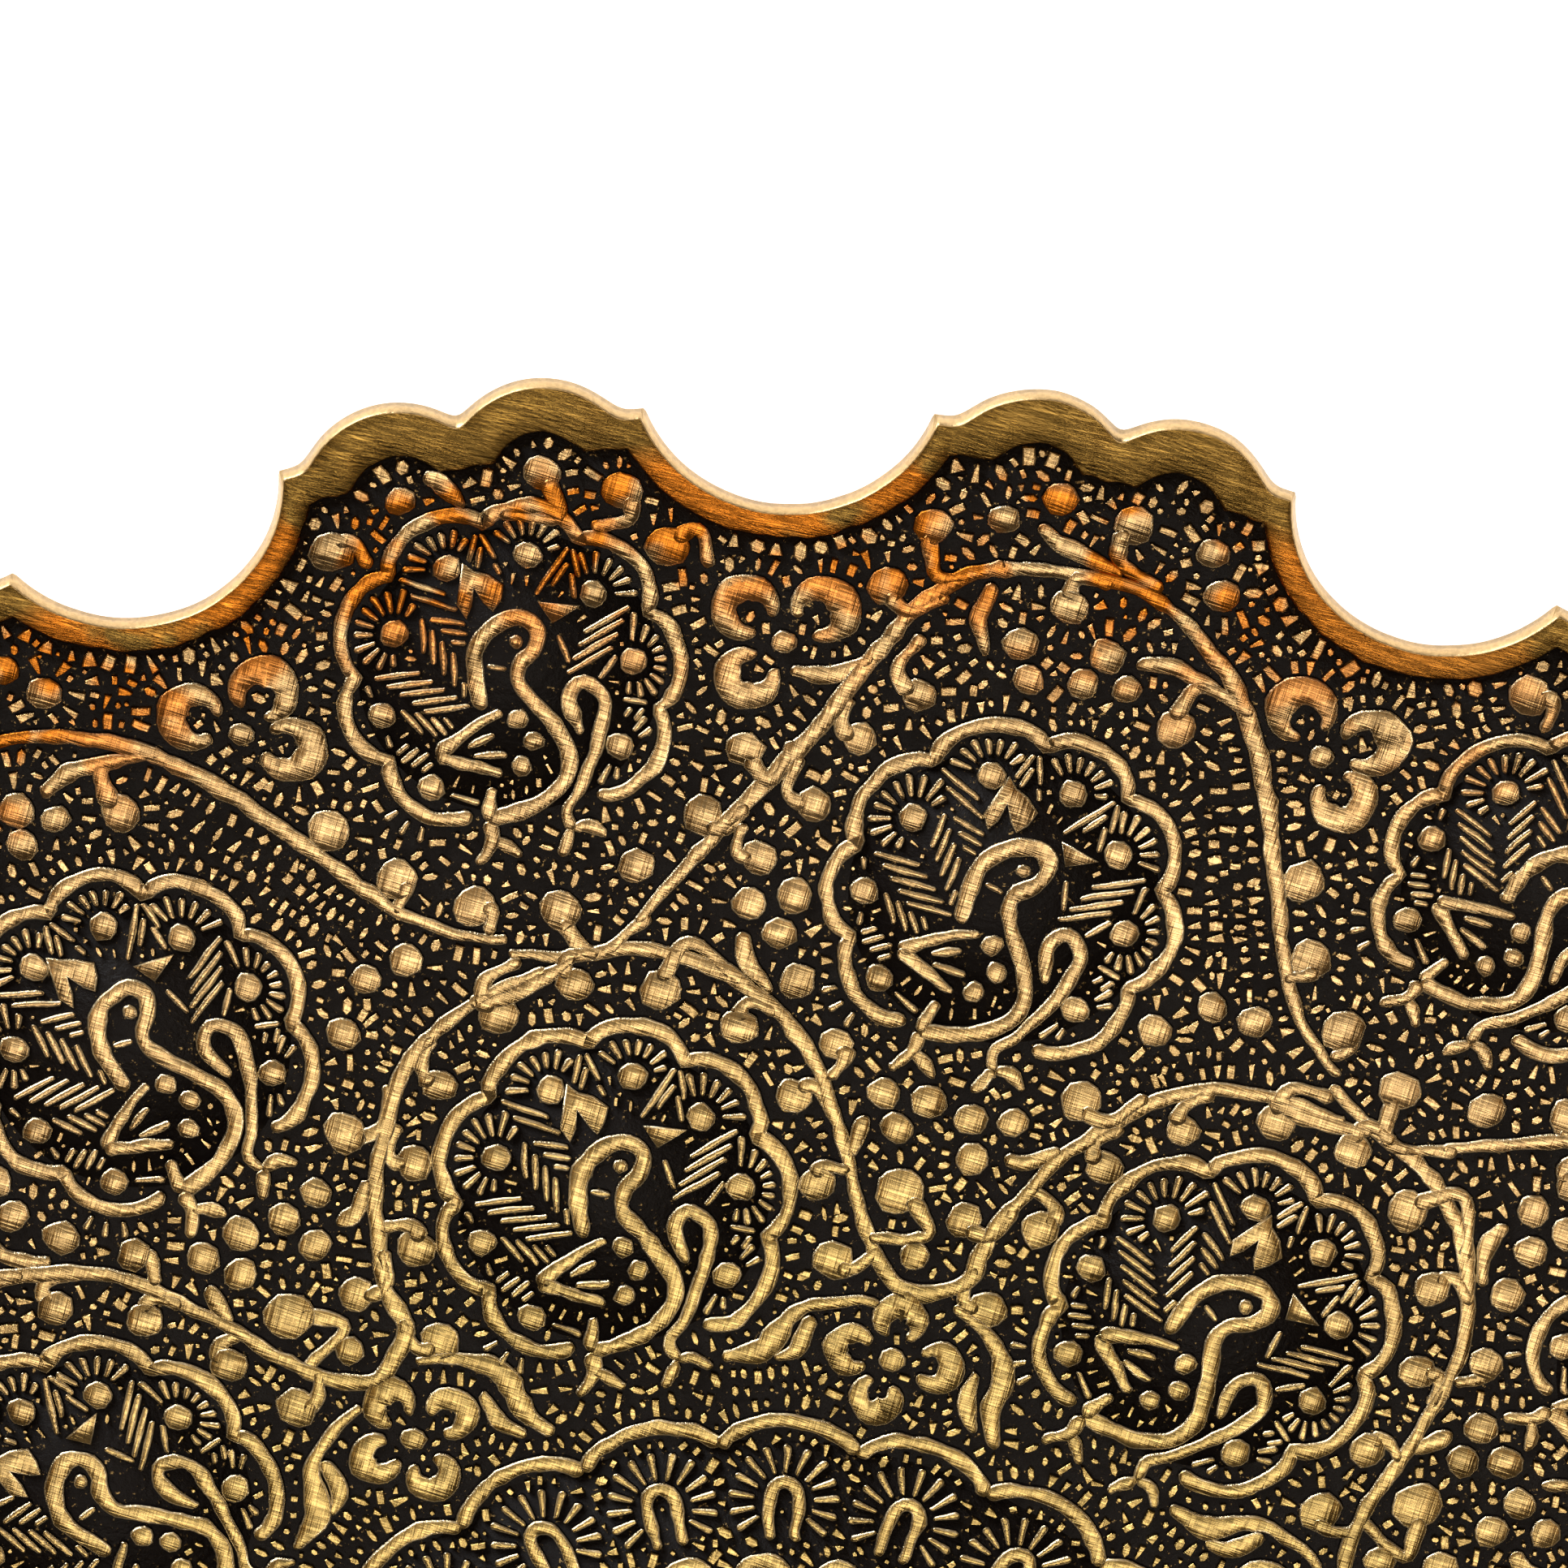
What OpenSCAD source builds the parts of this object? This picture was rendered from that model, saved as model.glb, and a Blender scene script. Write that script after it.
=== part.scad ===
// Round engraved brass tray: a gently dished sheet with a scalloped edge, a relief of
// peacock roundels, vines, flowers and a central rosette, and black lacquer in the ground.
// Millimetres. +Z is up, the origin is under the middle of the flat base.

/* [Sheet] */
// Diameter over the tops of the lobes
tray_d = 250; // [230:1:270]
// Thickness of the sheet under the relief
sheet_t = 1.15; // [0.9:0.05:1.6]
// Height of the relief above the cut ground
relief_h = 0.35; // [0.25:0.05:0.6]
// Depth of the black lacquer in the ground
lacquer_h = 0.2; // [0.1:0.05:0.2]
// Diameter of the flat middle of the tray
floor_d = 156; // [130:1:170]
// Radius of the gentle upward curve outside the flat middle
curve_r = 211; // [180:1:260]

/* [Scalloped edge] */
// Radius of each lobe
lobe_r = 7.2; // [6.8:0.1:7.6]
// Radius of each round notch
notch_r = 11.1; // [10:0.1:12]
// Width of the plain border at the lobes
border_w = 3.5; // [2.8:0.1:4]
// Width of the plain border round the notches
notch_border_w = 2.3; // [1.6:0.1:3]

/* [Roundels] */
// Diameter of a roundel in the outer ring
outer_roundel_d = 26.5; // [25:0.1:27]
// Diameter of a roundel in the middle ring
middle_roundel_d = 27.5; // [26:0.1:28]
// Diameter of a roundel in the inner ring
inner_roundel_d = 28; // [26:0.1:28.4]
// Width of a raised line
line_w = 1.3; // [1:0.1:1.5]

/* [Rosette] */
// Diameter of the rosette over its lobes
rosette_d = 86; // [82:0.5:87]
// Diameter of the boss at the middle
boss_d = 11; // [8:0.5:13]

/* [Hidden] */
$fn = 48;
tray_r = tray_d / 2;
floor_r = floor_d / 2;
over_r = tray_r + 2;                // past the edge, so that a cut is clean
tall = 20;                          // taller than the whole tray

folds = 8;                          // the pattern repeats eight times round the tray
turn = 360 / folds;
group_turn = turn / 2;              // one group of two lobes on each half turn
lobe_pitch_r = tray_r - lobe_r;     // lobe centres
lobe_turn = 2.55;                   // each lobe from the middle of its group, in degrees
step_r = tray_r - 3.1;              // the small step beside each notch
step_border_w = 2.7;
notch_pitch_r = tray_r + 0.3;       // notch centres

outer_ring_r = 103;                 // centres of the roundels and flowers
middle_ring_r = 85.8;
inner_ring_r = 61;
outer_flower_r = 103.3;
inner_flower_r = 48;

lobes = 9;                          // lobes of a roundel, one of them left open for the feet
lobe_share = 0.32;                  // lobe radius as a part of the roundel's radius
core_share = 0.8;                   // the disc behind the lobes
petals = 24;                        // lobes of the rosette
rosette_lobe_r = 5.6;
petal_r = 3.1;
petal_pitch_r = 27.4;
ring_r = 21;
brass = "#c8a15c";
pale_brass = "#d9b56e";
black = "#15100d";

// Profiles of a layer of the sheet, from height z0 to z1 above the underside: the flat
// middle, and the side that curves gently up from it
module floor_profile(z0, z1) {
    translate([0, z0]) square([floor_r, z1 - z0]);
}
module side_profile(z0, z1) {
    intersection() {
        translate([floor_r, curve_r]) difference() {
            circle(r = curve_r - z0, $fn = 720);
            circle(r = curve_r - z1, $fn = 720);
        }
        translate([floor_r, 0]) square([over_r - floor_r, tall]);
    }
}

// The part of a layer that stands over a flat outline
module layer(z0, z1) {
    intersection() {
        rotate_extrude($fn = 240) {
            floor_profile(z0, z1);
            side_profile(z0, z1);
        }
        linear_extrude(height = tall) children();
    }
}
module relief_layer() { layer(sheet_t, sheet_t + relief_h) children(); }
module lacquer_layer() { layer(sheet_t, sheet_t + lacquer_h) children(); }

// Children repeated round the tray: first at angle a clockwise from +Y, n in all
module around(n, a = 0) {
    for (i = [0 : n - 1]) rotate(-(a + i * 360 / n)) children();
}

// Edge outline, drawn in from the real edge by the three widths
module scallop(step_in = 0, lobe_in = 0, notch_in = 0) {
    difference() {
        union() {
            circle(r = step_r - step_in, $fn = 240);
            around(2 * folds, group_turn / 2)
                for (side = [-1, 1])
                    rotate(side * lobe_turn) translate([0, lobe_pitch_r]) circle(r = lobe_r - lobe_in);
        }
        around(2 * folds) translate([0, notch_pitch_r]) circle(r = notch_r + notch_in);
    }
}
module tray_outline() { scallop(); }
module field_outline() { scallop(step_border_w, border_w, notch_border_w); }

// Lobed disc of a roundel, drawn in by a width
module roundel_disc(d, inset = 0) {
    r = d / 2;
    circle(r = core_share * r - inset);
    for (i = [0 : lobes - 1])
        rotate(i * 360 / lobes - 90) translate([(1 - lobe_share) * r, 0]) circle(r = lobe_share * r - inset);
}

// Raised frame of a roundel, open at the bottom where the feet pass
module roundel_frame(d) {
    gap = 0.205 * d;
    difference() {
        roundel_disc(d);
        roundel_disc(d, line_w);
        translate([-gap / 2, -d]) square([gap, 0.64 * d]);
    }
}

// A bar with round ends from one point to another
module bar(from, to, w) {
    run = to - from;
    translate(from) rotate(atan2(run[1], run[0])) {
        translate([0, -w / 2]) square([norm(run), w]);
        circle(d = w);
        translate([norm(run), 0]) circle(d = w);
    }
}

// Standing peacock inside a roundel of diameter d, facing right
module peacock(d) {
    r = d / 2;
    head = [0.06, 0.27] * r;
    body = [0.04, -0.24] * r;
    difference() {
        union() {
            translate(head) circle(r = 0.22 * r);
            translate(body) circle(r = 0.36 * r);
        }
        translate(head) circle(r = 0.22 * r - 0.8 * line_w);
        translate(body) circle(r = 0.36 * r - 0.9 * line_w);
    }
    translate(head) circle(r = 0.045 * r);
    translate([0.34, 0.3] * r) polygon([[0, 0.08] * r, [0, -0.08] * r, [0.16, 0] * r]);
    translate([-0.3, 0.5] * r) circle(r = 0.08 * r);
    wing = [-0.44, -0.3] * r;
    bar(wing, [-0.14, -0.14] * r, 0.8 * line_w);
    bar(wing, [-0.14, -0.42] * r, 0.8 * line_w);
    for (side = [-1, 1]) {
        knee = [0.09 * side, -0.62] * r;
        ankle = [0.09 * side, -0.86] * r;
        bar(knee, ankle, 0.7 * line_w);
        bar(ankle, [0.14 * side, -0.98] * r, 0.7 * line_w);
    }
}

// Three horseshoe petals round a disc, with its stem side towards the middle of the tray
module flower(size) {
    circle(r = 0.17 * size);
    for (a = [0, 90, 180])
        rotate(a) translate([0.5 * size, 0]) difference() {
            circle(r = 0.3 * size);
            circle(r = 0.14 * size);
            translate([-0.34 * size, -0.08 * size]) square([0.3 * size, 0.16 * size]);
        }
}

// Part of a ring: centre at the origin, from angle a0 to a1
module arc_band(r, w, a0, a1) {
    far = r + w;
    mid = (a0 + a1) / 2;
    intersection() {
        difference() {
            circle(r = r + w / 2, $fn = 96);
            circle(r = r - w / 2, $fn = 96);
        }
        polygon([[0, 0], 1.4 * far * [cos(a0), sin(a0)], 2 * far * [cos(mid), sin(mid)],
                 1.4 * far * [cos(a1), sin(a1)]]);
    }
}

// Places of the motifs round the tray
module at_outer_ring() { around(folds, -group_turn / 2) translate([0, outer_ring_r]) children(); }
module at_middle_ring() { around(folds, group_turn / 2) translate([0, middle_ring_r]) children(); }
module at_inner_ring() { around(folds, -group_turn / 2) translate([0, inner_ring_r]) children(); }

module flower_shapes_outer() {
    around(2 * folds) translate([0, outer_flower_r]) flower(8);
}
module flower_shapes_inner() {
    around(folds, group_turn / 2) translate([0, inner_flower_r]) flower(8);
}
module stem_shapes() {
    around(folds, group_turn / 2) {
        translate([0, middle_ring_r]) {
            arc_band(17.4, line_w, 20, 160);
            arc_band(18.2, line_w, 200, 255);
            arc_band(18.2, line_w, 285, 340);
        }
    }
}
module berry_shapes() {
    around(folds, group_turn / 2) {
        for (x = [-4.4, 0, 4.4]) translate([x, 114.6 - abs(x) / 8]) circle(r = 1.25);
        for (x = [-2, 2]) translate([x, 107.6]) circle(r = 1.25);
        for (side = [-1, 1]) {
            translate([side * 4.6, 60.5]) circle(r = 1.3);
            translate([side * 2, 64.2]) circle(r = 1.3);
            translate([side * 2, 56.8]) circle(r = 1.3);
            translate([side * 14.5, 69.5]) circle(r = 1.3);
        }
    }
    around(2 * folds, group_turn / 2)
        for (side = [-1, 1])
            rotate(side * lobe_turn) translate([0, lobe_pitch_r]) circle(r = 0.9);
}
module rosette_disc(inset = 0) {
    circle(r = rosette_d / 2 - rosette_lobe_r * 0.6 - inset, $fn = 96);
    around(petals) translate([0, rosette_d / 2 - rosette_lobe_r]) circle(r = rosette_lobe_r - inset);
}
module petal_shapes() {
    around(petals, 360 / petals / 2) translate([0, petal_pitch_r]) difference() {
        circle(r = petal_r);
        circle(r = petal_r - 1.1);
    }
    difference() {
        circle(r = ring_r, $fn = 96);
        circle(r = ring_r - line_w, $fn = 96);
    }
    around(petals / 2) bar([0, boss_d / 2 + 2.4], [0, ring_r - 3.4], 2.2);
}

// Brass: the sheet in its two shapes, and each group of figures that stands on it
module tray_floor() color(brass) rotate_extrude($fn = 240) floor_profile(0, sheet_t);
module tray_side() color(brass) intersection() {
    rotate_extrude($fn = 240) side_profile(0, sheet_t);
    linear_extrude(height = tall) tray_outline();
}
module rim_border() color(brass) relief_layer()
    difference() { tray_outline(); field_outline(); }
module outer_roundel_frames() color(pale_brass) relief_layer()
    at_outer_ring() roundel_frame(outer_roundel_d);
module middle_roundel_frames() color(pale_brass) relief_layer()
    at_middle_ring() roundel_frame(middle_roundel_d);
module inner_roundel_frames() color(pale_brass) relief_layer()
    at_inner_ring() roundel_frame(inner_roundel_d);
module outer_peacocks() color(pale_brass) relief_layer() at_outer_ring() peacock(outer_roundel_d);
module middle_peacocks() color(pale_brass) relief_layer() at_middle_ring() peacock(middle_roundel_d);
module inner_peacocks() color(pale_brass) relief_layer() at_inner_ring() peacock(inner_roundel_d);
module vine_stems() color(pale_brass) relief_layer() stem_shapes();
module berries() color(pale_brass) relief_layer() berry_shapes();
module outer_flowers() color(pale_brass) relief_layer() flower_shapes_outer();
module inner_flowers() color(pale_brass) relief_layer() flower_shapes_inner();
module rosette_frame() color(pale_brass) relief_layer()
    difference() { rosette_disc(); rosette_disc(line_w); }
module rosette_petals() color(pale_brass) relief_layer() petal_shapes();
module centre_boss() color(pale_brass) relief_layer() circle(d = boss_d);

// Black lacquer: one pool in the field, one in each roundel, one in the rosette
module field_lacquer() color(black) lacquer_layer() difference() {
    field_outline();
    at_outer_ring() roundel_disc(outer_roundel_d);
    at_middle_ring() roundel_disc(middle_roundel_d);
    at_inner_ring() roundel_disc(inner_roundel_d);
    flower_shapes_outer();
    flower_shapes_inner();
    stem_shapes();
    berry_shapes();
    rosette_disc();
}
module roundel_lacquer(d) {
    difference() {
        roundel_disc(d, line_w);
        peacock(d);
    }
}
module outer_roundel_lacquer() color(black) lacquer_layer()
    at_outer_ring() roundel_lacquer(outer_roundel_d);
module middle_roundel_lacquer() color(black) lacquer_layer()
    at_middle_ring() roundel_lacquer(middle_roundel_d);
module inner_roundel_lacquer() color(black) lacquer_layer()
    at_inner_ring() roundel_lacquer(inner_roundel_d);
module rosette_lacquer() color(black) lacquer_layer() difference() {
    rosette_disc(line_w);
    petal_shapes();
    circle(d = boss_d);
}

tray_floor();
tray_side();
rim_border();
outer_roundel_frames();
middle_roundel_frames();
inner_roundel_frames();
outer_peacocks();
middle_peacocks();
inner_peacocks();
vine_stems();
berries();
outer_flowers();
inner_flowers();
rosette_frame();
rosette_petals();
centre_boss();
field_lacquer();
outer_roundel_lacquer();
middle_roundel_lacquer();
inner_roundel_lacquer();
rosette_lacquer();
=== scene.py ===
import math

import bpy
import numpy as np
from mathutils import Matrix, Vector
from mathutils.kdtree import KDTree


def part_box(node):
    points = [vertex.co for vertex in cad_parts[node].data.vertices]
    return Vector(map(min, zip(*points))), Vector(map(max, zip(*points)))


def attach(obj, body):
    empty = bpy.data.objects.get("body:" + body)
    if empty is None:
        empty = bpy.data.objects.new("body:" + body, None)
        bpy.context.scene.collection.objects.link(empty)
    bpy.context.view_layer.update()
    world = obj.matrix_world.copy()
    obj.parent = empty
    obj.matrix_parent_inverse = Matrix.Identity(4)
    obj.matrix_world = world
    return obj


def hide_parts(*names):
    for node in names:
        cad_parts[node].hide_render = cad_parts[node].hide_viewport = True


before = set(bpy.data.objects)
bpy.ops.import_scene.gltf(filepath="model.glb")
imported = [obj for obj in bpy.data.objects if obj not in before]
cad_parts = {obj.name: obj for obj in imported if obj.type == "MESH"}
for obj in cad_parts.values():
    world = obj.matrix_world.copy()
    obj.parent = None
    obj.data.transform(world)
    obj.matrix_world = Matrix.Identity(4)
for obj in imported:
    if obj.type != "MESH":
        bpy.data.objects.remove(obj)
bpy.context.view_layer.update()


def nodeReach(name):  # farthest a node goes from the middle axis, in metres
    return max(math.hypot(v.co.x, v.co.y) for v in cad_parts[name].data.vertices)


def nodeTop(name):
    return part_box(name)[1][2]


print("stage: sizes")
mm = nodeReach("tray_side") / 125  # every length below is in millimetres of a 250 mm tray
trayRadius = nodeReach("tray_side") / mm
floorRadius = nodeReach("tray_floor") / mm  # flat middle
rosetteRadius = nodeReach("rosette_frame") / mm
bossRadius = nodeReach("centre_boss") / mm
figureTop = nodeTop("centre_boss") / mm - 0.005
rimTop = nodeTop("rim_border") / mm
rimRun = trayRadius - floorRadius
curveRadius = (rimTop ** 2 + rimRun ** 2 - figureTop ** 2) / (2 * (rimTop - figureTop))  # of the dish
cutDepth = 0.55
lacquerDepth = 0.4  # from the top of the figures down to the lacquer
groundLevel = figureTop - cutDepth
lacquerLevel = figureTop - lacquerDepth
folds = 8  # the pattern repeats eight times
turn = 360 / folds
chance = np.random.default_rng(41)


# Shapes in plan, pens and piles

def lift(plan, level):  # plan points to points on the dished sheet, in metres
    plan = np.asarray(plan, float).reshape(-1, 2)
    run = np.maximum(np.hypot(plan[:, 0], plan[:, 1]) - floorRadius, 0)
    height = curveRadius - np.sqrt((curveRadius - level) ** 2 - run ** 2)
    return np.column_stack([plan, height]) * mm


def polar(radius, angle):  # angle clockwise from +Y
    a = np.radians(angle)
    return np.column_stack([radius * np.sin(a), radius * np.cos(a)])


def turned(points, angle):  # clockwise
    a = math.radians(angle)
    matrix = np.array([[math.cos(a), -math.sin(a)], [math.sin(a), math.cos(a)]])
    return np.asarray(points, float).reshape(-1, 2) @ matrix


def stroke(points, half, smooth=True):
    return {"kind": "stroke", "points": np.asarray(points, float), "half": half, "smooth": smooth}


def disc(x, y, radius):
    return {"kind": "disc", "points": np.array([[x, y]], float), "half": radius, "smooth": True}


def plate(points):  # a flat figure inside an outline that runs anticlockwise
    return {"kind": "plate", "points": np.asarray(points, float), "half": 1, "smooth": False}


def placed(shapes, radius, angle, scale=1):  # local up points away from the middle
    out = []
    for shape in shapes:
        points = turned(shape["points"] * scale + [0, radius], angle)
        half = np.asarray(shape["half"], float) * scale
        out.append({**shape, "points": points, "half": half})
    return out


def sameTurned(shapes, angle):
    return [{**shape, "points": turned(shape["points"], angle)} for shape in shapes]


def newPile():
    return {"points": [], "loops": [], "sizes": [], "marks": [], "count": 0}


def addFaces(pile, faces, mark=0):
    faces = np.asarray(faces, int)
    pile["loops"].append((faces + pile["count"]).ravel())
    pile["sizes"].append(np.full(len(faces), faces.shape[1]))
    pile["marks"].append(np.full(len(faces), mark))


def addPoints(pile, points):
    pile["points"].append(points)
    pile["count"] += len(points)


def ringQuads(first, second, count, closed=True):  # quads between two rings of points
    here = np.arange(count if closed else count - 1)
    after = (here + 1) % count
    return np.column_stack([first + here, first + after, second + after, second + here])


def curveThrough(points, step=0.12):
    points = np.asarray(points, float)
    if len(points) < 3:
        return points
    pieces = []
    full = np.vstack([2 * points[0] - points[1], points, 2 * points[-1] - points[-2]])
    for a, b, c, d in zip(full[:-3], full[1:-2], full[2:-1], full[3:]):
        t = np.linspace(0, 1, max(3, int(np.linalg.norm(c - b) / step)), endpoint=False)[:, None]
        pieces.append(0.5 * (2 * b + (c - a) * t + (2 * a - 5 * b + 4 * c - d) * t ** 2
                             + (3 * b - a - 3 * c + d) * t ** 3))
    return np.vstack(pieces + [points[-1:]])


def alongPath(path, wanted):
    lengths = np.concatenate([[0], np.cumsum(np.linalg.norm(np.diff(path, axis=0), axis=1))])
    return np.column_stack([np.interp(wanted, lengths, path[:, k]) for k in (0, 1)])


def pathLength(path):
    return float(np.linalg.norm(np.diff(path, axis=0), axis=1).sum())


def sideways(path):  # unit steps to the left of a path
    run = np.gradient(path, axis=0)
    run /= np.linalg.norm(run, axis=1)[:, None] + 1e-9
    return np.column_stack([-run[:, 1], run[:, 0]])


def penPath(shape, spacing=0.45):  # path with half widths, ends rounded
    path = curveThrough(shape["points"]) if shape["smooth"] else shape["points"]
    length = pathLength(path)
    widths = np.atleast_1d(shape["half"])
    endHalf = float(min(widths[0], length / 2.2))
    tailHalf = float(min(widths[-1], length / 2.2))
    middle = np.linspace(endHalf, length - tailHalf, max(2, int(length / spacing)))
    wanted = np.concatenate([endHalf * np.array([0.04, 0.3, 0.65]), middle,
                             length - tailHalf * np.array([0.65, 0.3, 0.04])])
    half = np.interp(wanted / length, np.linspace(0, 1, len(widths)), widths) if len(widths) > 1 \
        else np.full(len(wanted), widths[0])
    near = np.minimum(wanted / max(endHalf, 1e-3), (length - wanted) / max(tailHalf, 1e-3))
    half = half * np.sqrt(1 - (1 - np.minimum(near, 1)) ** 2 * 0.97)
    return alongPath(path, wanted), half


chisel = {"flare": 0.08, "chamfer": 0.14, "lip": 0.12, "wobble": 0.06, "tilt": 0.03, "drop": 0.02}
topFinish, highlightLipFinish, shadeWallFinish = 0, 1, 2  # places in figureFinishes: tops, lips in pale brass as a painted highlight, walls in black lacquer as painted shade


def slowNoise(count, every=3):
    knots = chance.normal(size=count // every + 3)
    return np.interp(np.arange(count) / every, np.arange(len(knots)), knots)


def addStroke(pile, shape, top=figureTop):
    path, half = penPath(shape)
    count = len(path)
    side = sideways(path)
    sway = chisel["wobble"] * slowNoise(count) * min(1, 2 * half.max())
    path = path + side * sway[:, None]
    half = half * (1 + 0.09 * slowNoise(count, 2) * min(1, half.max() * 2))
    inner = np.maximum(half - chisel["chamfer"], half * 0.5)
    top = top - chisel["drop"] * chance.random()
    lean = chisel["tilt"] * slowNoise(count, 4)
    ring = []
    for reach, level in ((half + chisel["flare"], groundLevel), (half, top - chisel["lip"]),
                         (inner, top - abs(lean) + lean), (-inner, top - abs(lean) - lean),
                         (-half, top - chisel["lip"]), (-half - chisel["flare"], groundLevel)):
        ring.append(lift(path + side * reach[:, None], level))
    points = np.stack(ring, axis=1).reshape(-1, 3)
    station = np.arange(count - 1)[:, None] * 6
    # walls rising above the lacquer get the black lacquer finish as painted shade
    for k, finish in enumerate((shadeWallFinish, highlightLipFinish, topFinish, highlightLipFinish, shadeWallFinish, shadeWallFinish)):
        here, after = station + k, station + (k + 1) % 6
        addFaces(pile, np.hstack([here, after, after + 6, here + 6]), finish)
    addFaces(pile, [[5, 4, 3, 2, 1, 0]], shadeWallFinish)
    addFaces(pile, [[6 * (count - 1) + k for k in range(6)]], shadeWallFinish)
    addPoints(pile, points)


def addPlate(pile, outline, top=figureTop):
    count = len(outline)
    ahead = np.roll(outline, -1, axis=0) - np.roll(outline, 1, axis=0)
    ahead /= np.linalg.norm(ahead, axis=1)[:, None] + 1e-9
    out = np.column_stack([ahead[:, 1], -ahead[:, 0]])
    top = top - chisel["drop"] * chance.random()
    lean = chisel["tilt"] * chance.normal(size=2)
    slope = (outline - outline.mean(axis=0)) @ lean
    slope = slope - slope.max()
    rings = [lift(outline + out * chisel["flare"], groundLevel), lift(outline, top - chisel["lip"]),
             lift(outline - out * chisel["chamfer"], np.maximum(top + slope, top - 0.06))]
    # the wall ring gets black lacquer as painted shade
    addFaces(pile, ringQuads(0, count, count), shadeWallFinish)
    addFaces(pile, ringQuads(count, 2 * count, count), highlightLipFinish)
    addFaces(pile, [list(range(2 * count, 3 * count))], topFinish)
    addFaces(pile, [list(range(count - 1, -1, -1))], shadeWallFinish)
    addPoints(pile, np.vstack(rings))


def discOutline(shape):  # a little out of round, as cut by hand
    count = int(8 + 3 * float(shape["half"]))
    angle = (np.arange(count) + 0.5 * chance.random(count)) * 2 * math.pi / count
    radius = float(shape["half"]) * (1.02 + 0.045 * chance.normal(size=count))
    oval = 1 + 0.05 * np.cos(2 * (angle - chance.random() * math.pi))
    return shape["points"][0] + (radius * oval)[:, None] * np.column_stack([np.cos(angle), np.sin(angle)])


def plateOutline(shape):
    points = shape["points"]
    return points + 0.03 * chance.normal(size=points.shape)


def cutShapes(pile, shapes):
    for shape in shapes:
        if shape["kind"] == "stroke":
            addStroke(pile, shape)
        elif shape["kind"] == "disc":
            addPlate(pile, discOutline(shape))
        else:
            addPlate(pile, plateOutline(shape))


def cutRound(*pairs):  # piles with their shapes, one eighth of the tray after another
    for k in range(folds):
        for pile, shapes in pairs:
            cutShapes(pile, sameTurned(shapes, k * turn))


def linked(name, data):  # a new object in the scene
    thing = bpy.data.objects.new(name, data)
    bpy.context.scene.collection.objects.link(thing)
    return thing


def makeObject(name, pile, materials, replaced):
    mesh = bpy.data.meshes.new(name)
    points = np.vstack(pile["points"])
    loops = np.concatenate(pile["loops"])
    sizes = np.concatenate(pile["sizes"])
    mesh.vertices.add(len(points))
    mesh.vertices.foreach_set("co", points.ravel())
    mesh.loops.add(len(loops))
    mesh.loops.foreach_set("vertex_index", loops)
    mesh.polygons.add(len(sizes))
    mesh.polygons.foreach_set("loop_start", np.concatenate([[0], np.cumsum(sizes)[:-1]]))
    mesh.polygons.foreach_set("material_index", np.concatenate(pile["marks"]))
    mesh.update(calc_edges=True)
    for material in materials:
        mesh.materials.append(material)
    thing = linked(name, mesh)
    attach(thing, "root")
    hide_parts(*replaced)
    print("  ", name, len(points), "points")


# Materials: shared effects as node groups, then the finishes

print("stage: materials")


def addNode(tree, kind, values=(), **settings):
    node = tree.nodes.new(kind)
    for key, value in settings.items():
        setattr(node, key, value)
    for key, value in dict(values).items():
        if isinstance(value, bpy.types.NodeSocket):
            tree.links.new(value, node.inputs[key])
        else:
            node.inputs[key].default_value = value
    return node


def newGroup(name, inputs, outputs):
    group = bpy.data.node_groups.new(name, "ShaderNodeTree")
    for label, kind, value in inputs:
        socket = group.interface.new_socket(name=label, in_out="INPUT", socket_type=kind)
        if value is not None:
            socket.default_value = value
    for label, kind in outputs:
        group.interface.new_socket(name=label, in_out="OUTPUT", socket_type=kind)
    return group, group.nodes.new("NodeGroupInput").outputs, group.nodes.new("NodeGroupOutput").inputs


def mathNode(tree, how, a, b):
    return addNode(tree, "ShaderNodeMath", {0: a, 1: b}, operation=how).outputs[0]


def rangeNode(tree, value, low, high, toLow=0.0, toHigh=1.0):
    return addNode(tree, "ShaderNodeMapRange", {"Value": value, "From Min": low, "From Max": high,
                                                "To Min": toLow, "To Max": toHigh}).outputs[0]


def mixColour(tree, factor, a, b, how="MIX"):
    node = addNode(tree, "ShaderNodeMix", {0: factor, 6: a, 7: b}, data_type="RGBA", blend_type=how)
    return node.outputs[2]  # sockets 6, 7 and 2 are the colour ones


# the rubbed colour is a painted highlight: pale brass put on the figures' lips (chamfers) to stand for the
# light they catch
tones = {"pale": (0.55, 0.365, 0.165, 1), "yellow": (0.46, 0.325, 0.115, 1),
         "orangeReflection": (0.52, 0.165, 0.017, 1), "olive": (0.21, 0.118, 0.02, 1),
         "edge": (0.62, 0.43, 0.21, 1), "paintedHighlight": (0.95, 0.80, 0.52, 1), "dark": (0.45, 0.30, 0.12, 1),
         "black": (0.004, 0.0025, 0.002, 1)}
# the orange bands, patches and side limit place a painted orange reflection near the rim on one side
toneBands = {"yellow": (0.085, 0.055), "orangeStart": (0.099, 0.110), "orangeEnd": (0.1195, 0.1175),
             "orangePatch": (0.44, 0.55), "orangeSide": (0.07, 0.03), "patchScale": 190.0}  # metres


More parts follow.
